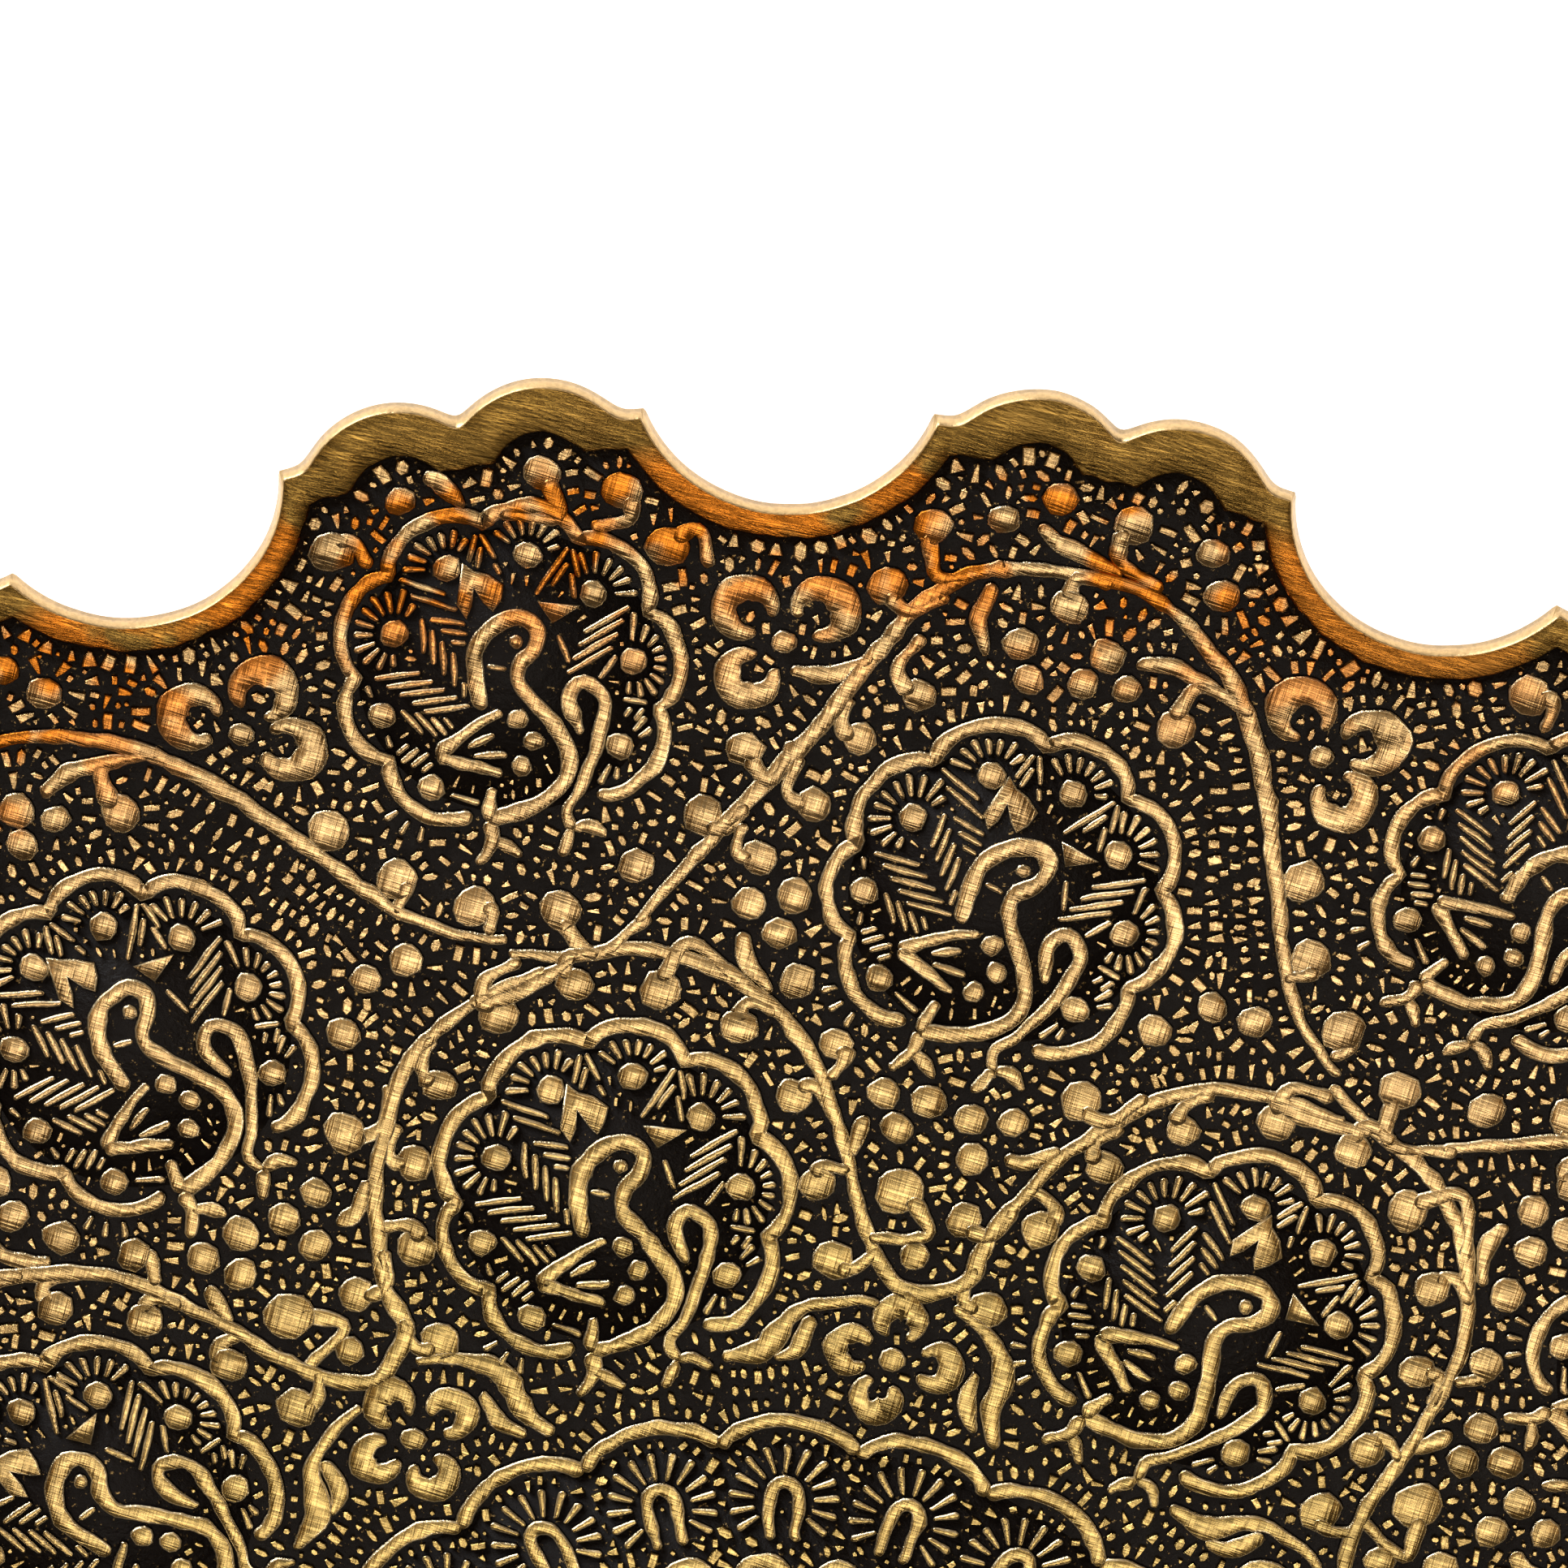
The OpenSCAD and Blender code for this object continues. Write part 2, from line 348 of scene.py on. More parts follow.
def makeScratchGroup():  # long thin marks all running one way
    group, given, result = newGroup("scratchMarks", [("Vector", "NodeSocketVector", None),
                                                     ("Angle", "NodeSocketFloat", 0.0),
                                                     ("Fineness", "NodeSocketFloat", 4000.0),
                                                     ("Length", "NodeSocketFloat", 14.0)],
                                    [("Mark", "NodeSocketFloat")])
    spun = addNode(group, "ShaderNodeVectorRotate", {"Vector": given["Vector"], "Angle": given["Angle"]},
                   rotation_type="Z_AXIS").outputs[0]
    long = mathNode(group, "DIVIDE", given["Fineness"], given["Length"])
    scale = addNode(group, "ShaderNodeCombineXYZ", {"X": long, "Y": given["Fineness"],
                                                    "Z": long}).outputs[0]
    stretched = addNode(group, "ShaderNodeVectorMath", {0: spun, 1: scale}, operation="MULTIPLY").outputs[0]
    noise = addNode(group, "ShaderNodeTexNoise", {"Vector": stretched, "Scale": 1.0, "Detail": 3.0,
                                                  "Roughness": 0.65}).outputs[0]
    group.links.new(rangeNode(group, noise, 0.40, 0.58), result["Mark"])
    return group


def makeToneAndReflectionGroup():  # where the brass is pale or yellow, and where orange is painted on as a reflection
    group, given, result = newGroup("brassTonesAndReflection", [("Vector", "NodeSocketVector", None),
                                                   ("Spread", "NodeSocketFloat", 0.0)],
                                    [("Colour", "NodeSocketColor"), ("PaintedReflection", "NodeSocketFloat"),
                                     ("Wear", "NodeSocketFloat")])
    flat = addNode(group, "ShaderNodeVectorMath", {0: given["Vector"], 1: (1, 1, 0)},
                   operation="MULTIPLY").outputs[0]
    reach = addNode(group, "ShaderNodeVectorMath", {0: flat}, operation="LENGTH").outputs[1]
    patches = addNode(group, "ShaderNodeTexNoise", {"Vector": given["Vector"], "Detail": 2.0,
                                                    "Scale": toneBands["patchScale"]}).outputs[0]
    across = addNode(group, "ShaderNodeSeparateXYZ", {0: given["Vector"]}).outputs[0]
    middle = rangeNode(group, reach, *toneBands["yellow"])
    pale = mixColour(group, middle, tones["pale"], tones["yellow"])
    reflectionBand = mathNode(group, "MULTIPLY", rangeNode(group, reach, *toneBands["orangeStart"]),
                          rangeNode(group, reach, *toneBands["orangeEnd"]))
    spread = mathNode(group, "ADD", patches, given["Spread"])
    paintedOrangeReflection = mathNode(group, "MULTIPLY", reflectionBand,
                          rangeNode(group, spread, *toneBands["orangePatch"]))
    paintedOrangeReflection = mathNode(group, "MULTIPLY", paintedOrangeReflection,
                          rangeNode(group, across, *toneBands["orangeSide"]))
    group.links.new(pale, result["Colour"])
    group.links.new(paintedOrangeReflection, result["PaintedReflection"])
    group.links.new(rangeNode(group, patches, 0.35, 0.65), result["Wear"])
    return group


scratchGroup = makeScratchGroup()
toneAndReflectionGroup = makeToneAndReflectionGroup()


def useGroup(tree, group, values):
    return addNode(tree, "ShaderNodeGroup", values, node_tree=group).outputs


def newMaterial(name):
    material = bpy.data.materials.new(name)
    material.use_nodes = True
    tree = material.node_tree
    shader = tree.nodes["Principled BSDF"]
    place = addNode(tree, "ShaderNodeTexCoord").outputs["Object"]
    return material, tree, shader, place


def brassMaterial(name, look):
    material, tree, shader, place = newMaterial(name)
    tone = useGroup(tree, toneAndReflectionGroup, {"Vector": place, "Spread": look["orangeReflection"]})
    marks = []
    for angle, fineness in look["scratches"]:
        marks.append(useGroup(tree, scratchGroup, {"Vector": place, "Angle": math.radians(angle),
                                                   "Fineness": fineness, "Length": look["length"]})["Mark"])
    crossed = mathNode(tree, "MULTIPLY", mathNode(tree, "ADD", marks[0], marks[1]), 0.5)
    colour = mixColour(tree, look["tint"], tone["Colour"], look["colour"])
    # the painted orange reflection is mixed over the brass
    colour = mixColour(tree, tone["PaintedReflection"], colour, tones["orangeReflection"])
    shade = mathNode(tree, "MULTIPLY", rangeNode(tree, crossed, 0.2, 0.8, look["darkest"], 1.0),
                     rangeNode(tree, tone["Wear"], 0, 1, look["dullest"], 1.0))
    grey = addNode(tree, "ShaderNodeCombineColor", {"Red": shade, "Green": shade, "Blue": shade}).outputs[0]
    colour = mixColour(tree, 1.0, colour, grey, "MULTIPLY")
    tree.links.new(colour, shader.inputs["Base Color"])
    rough = rangeNode(tree, tone["Wear"], 0, 1, look["rough"][0], look["rough"][1])
    tree.links.new(rough, shader.inputs["Roughness"])
    shader.inputs["Metallic"].default_value = 1.0
    bump = addNode(tree, "ShaderNodeBump", {"Height": crossed, "Strength": look["bump"],
                                            "Distance": 0.00004}).outputs[0]
    tree.links.new(bump, shader.inputs["Normal"])
    return material


def lacquerMaterial(name):
    material, tree, shader, place = newMaterial(name)
    grain = addNode(tree, "ShaderNodeTexNoise", {"Vector": place, "Scale": 1900.0, "Detail": 4.0,
                                                 "Roughness": 0.7}).outputs[0]
    lumps = addNode(tree, "ShaderNodeTexNoise", {"Vector": place, "Scale": 420.0, "Detail": 2.0}).outputs[0]
    speck = rangeNode(tree, grain, 0.63, 0.70)
    tree.links.new(mixColour(tree, speck, tones["black"], tones["dark"]), shader.inputs["Base Color"])
    tree.links.new(speck, shader.inputs["Metallic"])
    tree.links.new(rangeNode(tree, lumps, 0.3, 0.7, 0.38, 0.62), shader.inputs["Roughness"])
    shader.inputs["Specular IOR Level"].default_value = 0.12
    height = mathNode(tree, "ADD", grain, lumps)
    bump = addNode(tree, "ShaderNodeBump", {"Height": height, "Strength": 0.8,
                                            "Distance": 0.0002}).outputs[0]
    tree.links.new(bump, shader.inputs["Normal"])
    return material


# orange: how much of the painted orange reflection each finish gets
figureLook = {"scratches": ((18, 3800.0), (104, 3000.0)), "length": 36.0, "tint": 0.0, "orangeReflection": 0.0,
              "colour": tones["pale"], "darkest": 0.58, "dullest": 0.68, "rough": (0.14, 0.26), "bump": 0.65}
borderLook = {"scratches": ((10, 7200.0), (24, 4200.0)), "length": 34.0, "tint": 0.92, "orangeReflection": 0.12,
              "colour": tones["olive"], "darkest": 0.4, "dullest": 0.9, "rough": (0.16, 0.30), "bump": 0.8}
edgeLook = {"scratches": ((0, 3000.0), (90, 3000.0)), "length": 1.5, "tint": 0.85, "orangeReflection": -1.0,
            "colour": tones["edge"], "darkest": 0.8, "dullest": 0.9, "rough": (0.3, 0.42), "bump": 0.35}
# painted highlight: paler brass for the figures' lips
paintedHighlightLook = {"scratches": ((18, 5200.0), (104, 4200.0)), "length": 20.0, "tint": 0.8, "orangeReflection": 0.0,
              "colour": tones["paintedHighlight"], "darkest": 0.75, "dullest": 0.85, "rough": (0.22, 0.32), "bump": 0.6}
groundLook = {"scratches": ((18, 3800.0), (104, 3000.0)), "length": 16.0, "tint": 0.05, "orangeReflection": -0.03,
              "colour": tones["olive"], "darkest": 0.6, "dullest": 0.75, "rough": (0.16, 0.3), "bump": 0.9}
figureBrass = brassMaterial("figureBrass", figureLook)
borderBrass = brassMaterial("borderBrass", borderLook)
edgeBrass = brassMaterial("edgeBrass", edgeLook)
groundBrass = brassMaterial("groundBrass", groundLook)
paintedHighlightBrass = brassMaterial("paintedHighlightBrass", paintedHighlightLook)
blackLacquer = lacquerMaterial("blackLacquer")
# the walls take black lacquer as painted shade, though they stand above the lacquer
figureFinishes = [figureBrass, paintedHighlightBrass, blackLacquer]


# The sheet with its scalloped edge and plain border

print("stage: sheet")
edge = {"lobeRadius": 7.2, "lobeCentre": trayRadius - 7.2, "lobeTurn": 2.55, "step": trayRadius - 3.1,
        "notchRadius": 11.1, "notchCentre": trayRadius + 0.3, "border": (2.7, 3.5, 2.3),
        "wave": 0.05, "bevel": 0.08, "slant": 0.42, "innerBevel": 0.12, "ringCount": 9, "soft": 0.55,
        "lobeTuck": 0.4, "leastRay": 0.06, "wallFoot": 0.12}
groupTurn = turn / 2  # two lobes and a notch in each


def edgeRadius(angle, stepIn=0.0, lobeIn=0.0, notchIn=0.0):  # outline, drawn in by three widths
    within = np.mod(np.asarray(angle, float), groupTurn)
    soft = edge["soft"]
    total = np.exp((edge["step"] - stepIn - trayRadius) / soft) * np.ones(within.shape)
    for side in (-1, 1):
        away = np.radians(within - groupTurn / 2 - side * edge["lobeTurn"])
        inside = (edge["lobeRadius"] - lobeIn) ** 2 - (edge["lobeCentre"] * np.sin(away)) ** 2
        reach = edge["lobeCentre"] * np.cos(away) + np.sqrt(np.maximum(inside, 0))
        total += np.where(inside > 0, np.exp((reach - trayRadius) / soft), 0)
    radius = np.minimum(trayRadius + soft * np.log(total), trayRadius)  # lobes flow into each other
    for centre in (0, groupTurn):
        away = np.radians(within - centre)
        inside = (edge["notchRadius"] + notchIn) ** 2 - (edge["notchCentre"] * np.sin(away)) ** 2
        reach = edge["notchCentre"] * np.cos(away) - np.sqrt(np.maximum(inside, 0))
        radius = np.where(inside > 0, np.minimum(radius, reach), radius)
    return radius


def arcAngles(centreRadius, centreAngle, arcRadius, count):  # rays to evenly spaced points of a circle
    around = np.linspace(0, 2 * math.pi, count, endpoint=False)
    x = centreRadius * math.sin(math.radians(centreAngle)) + arcRadius * np.cos(around)
    y = centreRadius * math.cos(math.radians(centreAngle)) + arcRadius * np.sin(around)
    return np.degrees(np.arctan2(x, y))


def edgeAngles():  # rays close together where the outline is steep
    rays = [np.linspace(0, groupTurn, 24, endpoint=False)]
    stepIn, lobeIn, notchIn = edge["border"]
    for lobe, notch in ((0, 0), (lobeIn, notchIn)):
        for side in (-1, 1):
            rays.append(arcAngles(edge["lobeCentre"], groupTurn / 2 + side * edge["lobeTurn"],
                                  edge["lobeRadius"] - lobe, 60))
        for centre in (0, groupTurn):
            rays.append(arcAngles(edge["notchCentre"], centre, edge["notchRadius"] + notch, 90))
    rays = np.unique(np.mod(np.round(np.concatenate(rays), 2), groupTurn))
    keep = [rays[0]]
    for ray in rays[1:]:
        if ray - keep[-1] > edge["leastRay"]:
            keep.append(ray)
    group = np.array(keep)
    return np.concatenate([group + k * groupTurn for k in range(2 * folds)])


rays = edgeAngles()


def ringNoise(size, waves):  # smooth change round the tray, the same at 0 and 360 degrees
    total = np.zeros(len(rays))
    for wave in waves:
        total += chance.normal() * np.cos(np.radians(rays) * wave + chance.random() * 6.3)
    return size * total / len(waves) ** 0.5


edgeWave = np.abs(ringNoise(edge["wave"], range(11, 120, 7)))
fieldWave = ringNoise(edge["wave"] * 1.8, range(35, 400, 13))


def outerEdge(inset=0.0):
    return edgeRadius(rays, inset, inset, inset) - edgeWave


def fieldEdge(inset=0.0):
    stepIn, lobeIn, notchIn = edge["border"]
    return edgeRadius(rays, stepIn + inset, lobeIn + edge["lobeTuck"] + inset, notchIn + inset) - fieldWave


def addRings(pile, rings):  # rings of (radius, level, mark of the band after it), closed at both ends
    count = len(rays)
    points = []
    for radius, level, mark in rings:
        points.append(lift(polar(np.broadcast_to(radius, count), rays), level))
    for k, (radius, level, mark) in enumerate(rings[:-1]):
        addFaces(pile, ringQuads((k + 1) * count, k * count, count), mark)
    first = len(rings) * count
    around = np.arange(count)
    after = (around + 1) % count
    addFaces(pile, np.column_stack([np.full(count, first), around, after]), rings[0][2])
    last = (len(rings) - 1) * count
    addFaces(pile, np.column_stack([np.full(count, first + 1), last + after, last + around]), rings[-1][2])
    points.append(lift([[0, 0]], rings[0][1]))
    points.append(lift([[0, 0]], rings[-1][1]))
    addPoints(pile, np.vstack(points))


def spreadRings(outline, level, mark, outward=True):  # rings between the flat middle and an outline
    shares = np.linspace(0, 1, edge["ringCount"])
    rings = [(floorRadius * 0.5, level, mark)]
    rings += [(floorRadius + (outline - floorRadius) * share, level, mark) for share in shares[:-1]]
    return rings if outward else rings[::-1]


sheetPile = newPile()
bevel = edge["bevel"]
sheetRings = spreadRings(outerEdge(bevel), 0.0, 0)
slant = edge["slant"]  # the edge is cut square to the dished sheet
wallFoot = fieldEdge(edge["wallFoot"])
sheetRings += [(outerEdge(bevel), 0.0, 1), (outerEdge(), bevel, 1), (outerEdge(slant), figureTop - 0.05, 1),
               (outerEdge(slant + bevel), figureTop, 0), (fieldEdge(-edge["innerBevel"]), figureTop, 0),
               (fieldEdge(), figureTop - 0.09, 0), (wallFoot, groundLevel, 0)]
sheetRings += spreadRings(wallFoot, groundLevel, 0, outward=False)
addRings(sheetPile, sheetRings)
makeObject("traySheet", sheetPile, [borderBrass, edgeBrass],
           ["tray_floor", "tray_side", "rim_border"])

fieldPool = newPile()
poolEdge = fieldEdge(-0.02)
poolBottom = groundLevel - 0.1
addRings(fieldPool, spreadRings(poolEdge, poolBottom, 0)
         + [(poolEdge, poolBottom, 0), (poolEdge, lacquerLevel, 0)]
         + spreadRings(poolEdge, lacquerLevel, 0, outward=False))
makeObject("fieldLacquer", fieldPool, [blackLacquer], ["field_lacquer"])


# Peacock roundels

print("stage: roundels")
roundel = {"cusps": (245, 207, 172, 130, 88, 52, 14, -24, -66), "cuspReach": 0.845, "lobeReach": 0.955,
           "lineHalf": 0.044, "eyeReaches": (.80, .75, .66, .67, .67, .65, .69, .74), "eyeRadius": 0.08,
           "rayHalf": 0.0155, "tallness": 1.04}
peacockLines = {
    "body": ((-.19, -.19), (-.19, .03), (-.14, .17), (-.01, .27), (.13, .285), (.20, .205), (.16, .105),
             (.065, .03), (.05, -.09), (.15, -.28), (.235, -.48), (.21, -.63), (.08, -.74), (-.09, -.795),
             (-.28, -.815)),
    "spur": ((-.28, -.815), (-.22, -.63)),
    "frontLeg": ((-.28, -.815), (-.285, -.93), (-.385, -1.05)),
    "frontToe": ((-.285, -.93), (-.21, -.97), (-.135, -1.045)),
    "fold": ((.325, -.42), (.295, -.22), (.39, -.13), (.485, -.23), (.455, -.38), (.36, -.56),
             (.25, -.73), (.155, -.83), (.175, -.94)),
    "rearLeg": ((.175, -.94), (.08, -1.08)),
    "rearToe": ((.175, -.94), (.26, -.935), (.355, -1.01))}
beak = ((.235, .36), (.285, .225), (.46, .30))
crest = ((-.13, .65), (-.21, .42), (-.17, .335), (-.125, .40), (-.10, .50), (-.06, .40), (-.015, .35),
         (.04, .41), (.07, .49), (0, .56), (-.08, .60))
wing = {"upper": ((-.49, -.40), (-.26, -.28), (-.08, -.22)), "lower": ((-.49, -.40), (-.15, -.57)),
        "upperBarb": ((-.31, -.385), (-.15, -.335)), "lowerBarb": ((-.29, -.44), (-.10, -.46)),
        "scales": ((0, -.275, .062), (.058, -.413, .06), (-.038, -.54, .06))}

# nested barbs: tip of the first, step to the next, how many, then the angle and length of each arm
barbs = (((-.49, .62), (.045, -.095), 2, ((331, .27),)),
         ((-.41, .38), (.043, -.072), 5, ((260, .20), (342, .24))),
         ((-.74, .09), (.058, -.058), 5, ((-3, .26),)),
         ((-.63, -.11), (.075, -.028), 5, ((-61, .18),)),
         ((-.74, -.37), (.05, -.035), 4, ((28, .13),)),
         ((-.01, .83), (.01, -.09), 2, ((246, .20), (288, .20))),
         ((.485, .66), (-.02, -.085), 3, ((225, .36), (268, .20))),
         ((.73, .25), (-.045, -.07), 4, ((200, .30),)),
         ((.64, .02), (-.045, -.045), 3, ((222, .26),)),
         ((.31, .16), (.06, -.075), 3, ((279, .17),)),
         ((.72, -.31), (-.05, .03), 2, ((160, .14), (222, .12))))


def local(angle, reach):  # anticlockwise from local right
    a = np.radians(np.asarray(angle, float))
    return np.column_stack([reach * np.cos(a), reach * np.sin(a)])


def frameShape():  # lobed line, open where the legs pass
    cusps = roundel["cusps"]
    angles, reach = [], []
    for start, end in zip(cusps[:-1], cusps[1:]):
        share = np.linspace(-1, 1, 13)[:-1]
        dip = (1 - np.sqrt(1 - 0.78 * share ** 2)) / (1 - math.sqrt(0.22))
        angles.append((start + end) / 2 + share * (end - start) / 2)
        reach.append(roundel["lobeReach"] - (roundel["lobeReach"] - roundel["cuspReach"]) * dip)
    angles.append([cusps[-1]])
    reach.append([roundel["cuspReach"]])
    return stroke(local(np.concatenate(angles), np.concatenate(reach)), roundel["lineHalf"], False)


def peacockShapes():
    half = roundel["lineHalf"] * 1.06
    shapes = [stroke(peacockLines["body"], [half * 0.9] + [half * 1.1] * 3 + [half] * 8 + [half * 1.1]),
              stroke(peacockLines["spur"], [half, half * 0.6]),
              stroke(peacockLines["frontLeg"], [half * 1.1, half * 0.8, half * 0.7]),
              stroke(peacockLines["frontToe"], [half * 0.6, half * 0.9, half * 0.5]),
              stroke(peacockLines["fold"], [half * 0.5, half * 0.95] + [half * 0.9] * 5 + [half * 0.75] * 4),
              stroke(peacockLines["rearLeg"], [half * 0.7, half * 0.85, half * 0.6]),
              stroke(peacockLines["rearToe"], [half * 0.6, half * 0.9, half * 0.5]),
              stroke(wing["upper"], [half * 1.0, half * 0.8, half * 0.5]),
              stroke(wing["lower"], [half * 1.0, half * 0.85, half * 0.6]),
              stroke(wing["upperBarb"], [half * 0.3, half * 0.6, half * 0.35], False),
              stroke(wing["lowerBarb"], [half * 0.3, half * 0.55, half * 0.45], False),
              disc(.07, .16, .042), plate(beak), plate(crest)]
    return shapes + [disc(*scale) for scale in wing["scales"]]


def insideWay(shapes, gap):  # test for small strokes that must keep clear of shapes
    taken = []
    for shape in shapes:
        if shape["kind"] == "stroke":
            path, half = penPath(shape, 0.04)
            taken.append(np.column_stack([path, half + gap]))
        elif shape["kind"] == "disc":
            taken.append(np.array([[*shape["points"][0], float(shape["half"]) + gap]]))
        else:
            middle = shape["points"].mean(axis=0)
            reach = np.linalg.norm(shape["points"] - middle, axis=1).mean()
            taken.append(np.array([[*middle, reach + gap]]))
    taken = np.vstack(taken)

    def isFree(points):
        away = np.linalg.norm(np.asarray(points)[:, None, :] - taken[None, :, :2], axis=2)
        return bool(np.all(away > taken[None, :, 2]))
    return isFree


def cutToFit(points, isFree):  # the longest clear part of a straight stroke, or nothing
    a, b = np.asarray(points[0], float), np.asarray(points[1], float)
    marks = np.linspace(0, 1, 12)
    free = [isFree([a + (b - a) * t]) for t in marks]
    best, start = (0, 0), None
    for k, ok in enumerate(free + [False]):
        if ok and start is None:
            start = k
        if not ok and start is not None:
            if k - 1 - start > best[1] - best[0]:
                best = (start, k - 1)
            start = None
    if best[1] - best[0] < 4:
        return None
    return a + (b - a) * marks[best[0]], a + (b - a) * marks[best[1]]


def featherShapes(base):
    cusps = roundel["cusps"]
    eyes = []
    for start, end, reach in zip(cusps[:-1], cusps[1:], roundel["eyeReaches"]):
        eyes.append(disc(*local([(start + end) / 2], reach)[0], roundel["eyeRadius"]))
    shapes = list(eyes)
    base = base + [frameShape()]
    half = roundel["rayHalf"]
    for tip, step, count, arms in barbs:
        for row in range(count):
            for angle, length in arms:
                start = np.add(tip, np.multiply(step, row))
                isFree = insideWay(base + shapes, 0.012)
                fit = cutToFit((start, start + local([angle], length)[0]), isFree)
                if fit:
                    shapes.append(stroke(fit, [half, half * 1.3, half * 0.9], False))
    isFree = insideWay(base + shapes, 0.02)
    for eye, start, end in zip(eyes, cusps[:-1], cusps[1:]):
        out = (start + end) / 2
        for lean in range(-105, 106, 21):
            way = local([out + lean], 1)[0]
            fit = cutToFit((eye["points"][0] + way * 0.115, eye["points"][0] + way * 0.32), isFree)
            if fit:
                shapes.append(stroke(fit, [half * 0.8, half * 1.5], False))
    return shapes


def tall(shapes):  # roundels stand a little higher than they are wide
    return [{**shape, "points": shape["points"] * [1, roundel["tallness"]]} for shape in shapes]


peacock = peacockShapes()
feathers = featherShapes(peacock)
rings = {"outer": {"radius": 103.0, "angle": -turn / 4, "size": 13.25},
         "middle": {"radius": 85.8, "angle": turn / 4, "size": 13.75},
         "inner": {"radius": 61.0, "angle": -turn / 4, "size": 14.0}}
figures = []  # everything of one eighth, so that the ground strokes keep clear of it
for ringName, ring in rings.items():
    frameHere = placed(tall([frameShape()]), ring["radius"], ring["angle"], ring["size"])
    birdHere = placed(tall(peacock + feathers), ring["radius"], ring["angle"], ring["size"])
    figures += frameHere + birdHere
    framePile, birdPile = newPile(), newPile()
    cutRound((framePile, frameHere), (birdPile, birdHere))
    makeObject(ringName + "Frames", framePile, figureFinishes, [ringName + "_roundel_frames"])
    makeObject(ringName + "Peacocks", birdPile, figureFinishes, [ringName + "_peacocks"])


# Vines with their buds, leaves and berries

print("stage: vines")
outerVine = polar(np.array([82.2, 85, 91.5, 97, 103.7, 107.8, 110.8, 111.6, 110.6, 108.5, 105.9, 100, 93,
                            87.2, 84.1, 82.3]),
                  np.array([-7.3, -5.4, -1.4, 1.5, 3.9, 5.6, 7.8, 12.4, 14.7, 16.6, 18.4, 20.9, 23.4,
                            25.8, 28.2, 30.9]))
innerVine = polar(np.array([81.4, 80.3, 80.1, 78.1, 76.2, 73.7, 70.5, 67.4, 63.5, 59.4, 55.6, 53.8, 54.4,
                            56.2, 60.1, 63.8, 67, 70.8, 74.1, 76.4, 77.5, 78.9, 79.6]),
                  np.array([-14.2, -11.25, -7.2, -3.2, -1.2, .9, 2.7, 3.7, 5.2, 6.5, 8.6, 11, 13.7,
                            15.7, 16.1, 17.5, 18.6, 20.7, 22.7, 24.9, 26.7, 29.9, 32.6]))
vineHalf = {"outer": [0.4, 0.6, 0.72, 0.75, 0.66, 0.58, 0.5, 0.64, 0.72, 0.66, 0.55, 0.4],
            "inner": [0.4, 0.58, 0.68, 0.6, 0.54, 0.66, 0.72, 0.6, 0.64, 0.56, 0.4]}
# a bud: its middle, its radius, where its tail meets the stem, and how far the tail bows to the left
buds = ((7.5, 108.3, 1.5, 12, 107.6, -.25), (10.6, 113, 1.4, 16, 110.1, -.35),
        (25.2, 113.5, 1.5, 27.5, 108.5, -.25), (20.8, 107, 1.4, 24, 108.9, .3),
        (28.9, 97.7, 1.5, 34.5, 99, .35), (10, 99.8, 1.3, 10.2, 104.5, .25),
        (5.7, 96.3, 1.3, 4.8, 99.5, .2), (-2.7, 95.3, 1.4, 1, 96, -.5), (2.5, 91, 1.4, 1.5, 94.8, .3),
        (-5.7, 90, 1.6, -2.5, 91, -.3), (-1.5, 86.8, 1.4, -2.6, 89.5, .3),
        (-16.1, 82.4, 1.6, -9.5, 82.2, -.35),
        (-22.5, 82.5, 1.6, -21.5, 80.3, .3), (-28.3, 84.5, 1.6, -28.5, 82, .2),
        (-17.8, 116.6, 1.4, -20.8, 113.4, .5), (-12, 115.3, 1.5, -14.2, 112.4, .35),
        (-33, 110.2, 1.6, -30.2, 109, .3), (-8.6, 111, 1.6, -5.6, 109.4, .45),
        (-20.6, 74, 1.5, -19, 78.4, .3), (-15, 76.6, 1.4, -13.2, 79.2, .4), (-8.6, 76.3, 1.6, -2.6, 77, .4),
        (-2.7, 73.5, 1.4, 0.2, 74.6, .35), (4.6, 72.4, 1.3, 4, 69.6, .2), (1.5, 68.2, 1.4, 4.3, 67, .3),
        (3.5, 61.2, 1.4, 5.9, 62.4, .3), (4.8, 55.2, 1.6, 8.2, 56.2, -.2), (9.6, 60.8, 1.9, 7.4, 57, .6),
        (14.5, 58.6, 1.4, 18.5, 59.8, -.3), (20.3, 58, 1.5, 19.5, 61.2, -.3),
        (16.5, 51.5, 1.5, 15.6, 54.8, .3),
        (25, 63, 1.4, 26.3, 66.2, .3), (23, 68.3, 1.6, 28, 68.8, -.25), (30.7, 66.1, 1.3, 33, 69.2, .2))
berries = ((31.8, 108.2, 1.3), (31, 111.5, 1.2), (15.8, 113.7, 1.2), (19.8, 115.4, 1.3), (17.3, 104, 1.3),
           (23.7, 103.2, 1.4), (18, 101.2, 1.2), (22, 101, 1.2), (25.2, 100.7, 1.1), (-28, 114.2, 1.1),
           (-33.3, 88.3, 1.6), (-10.5, 86, 1.4), (-2.1, 83.2, 1.3), (1.2, 83.9, 1.4), (0.2, 80.9, 1.3),
           (-27.6, 78.2, 1.3), (-30.6, 76.7, 1.2), (-32.2, 72.3, 1.3), (1.6, 77.2, 1.4), (10.9, 55.7, 1.2),
           (8.2, 68.6, 1.3), (11.6, 68, 1.4), (14.8, 66.6, 1.3), (18, 66.4, 1.2), (9.3, 65.8, 1.3),
           (15, 63.5, 1.3))
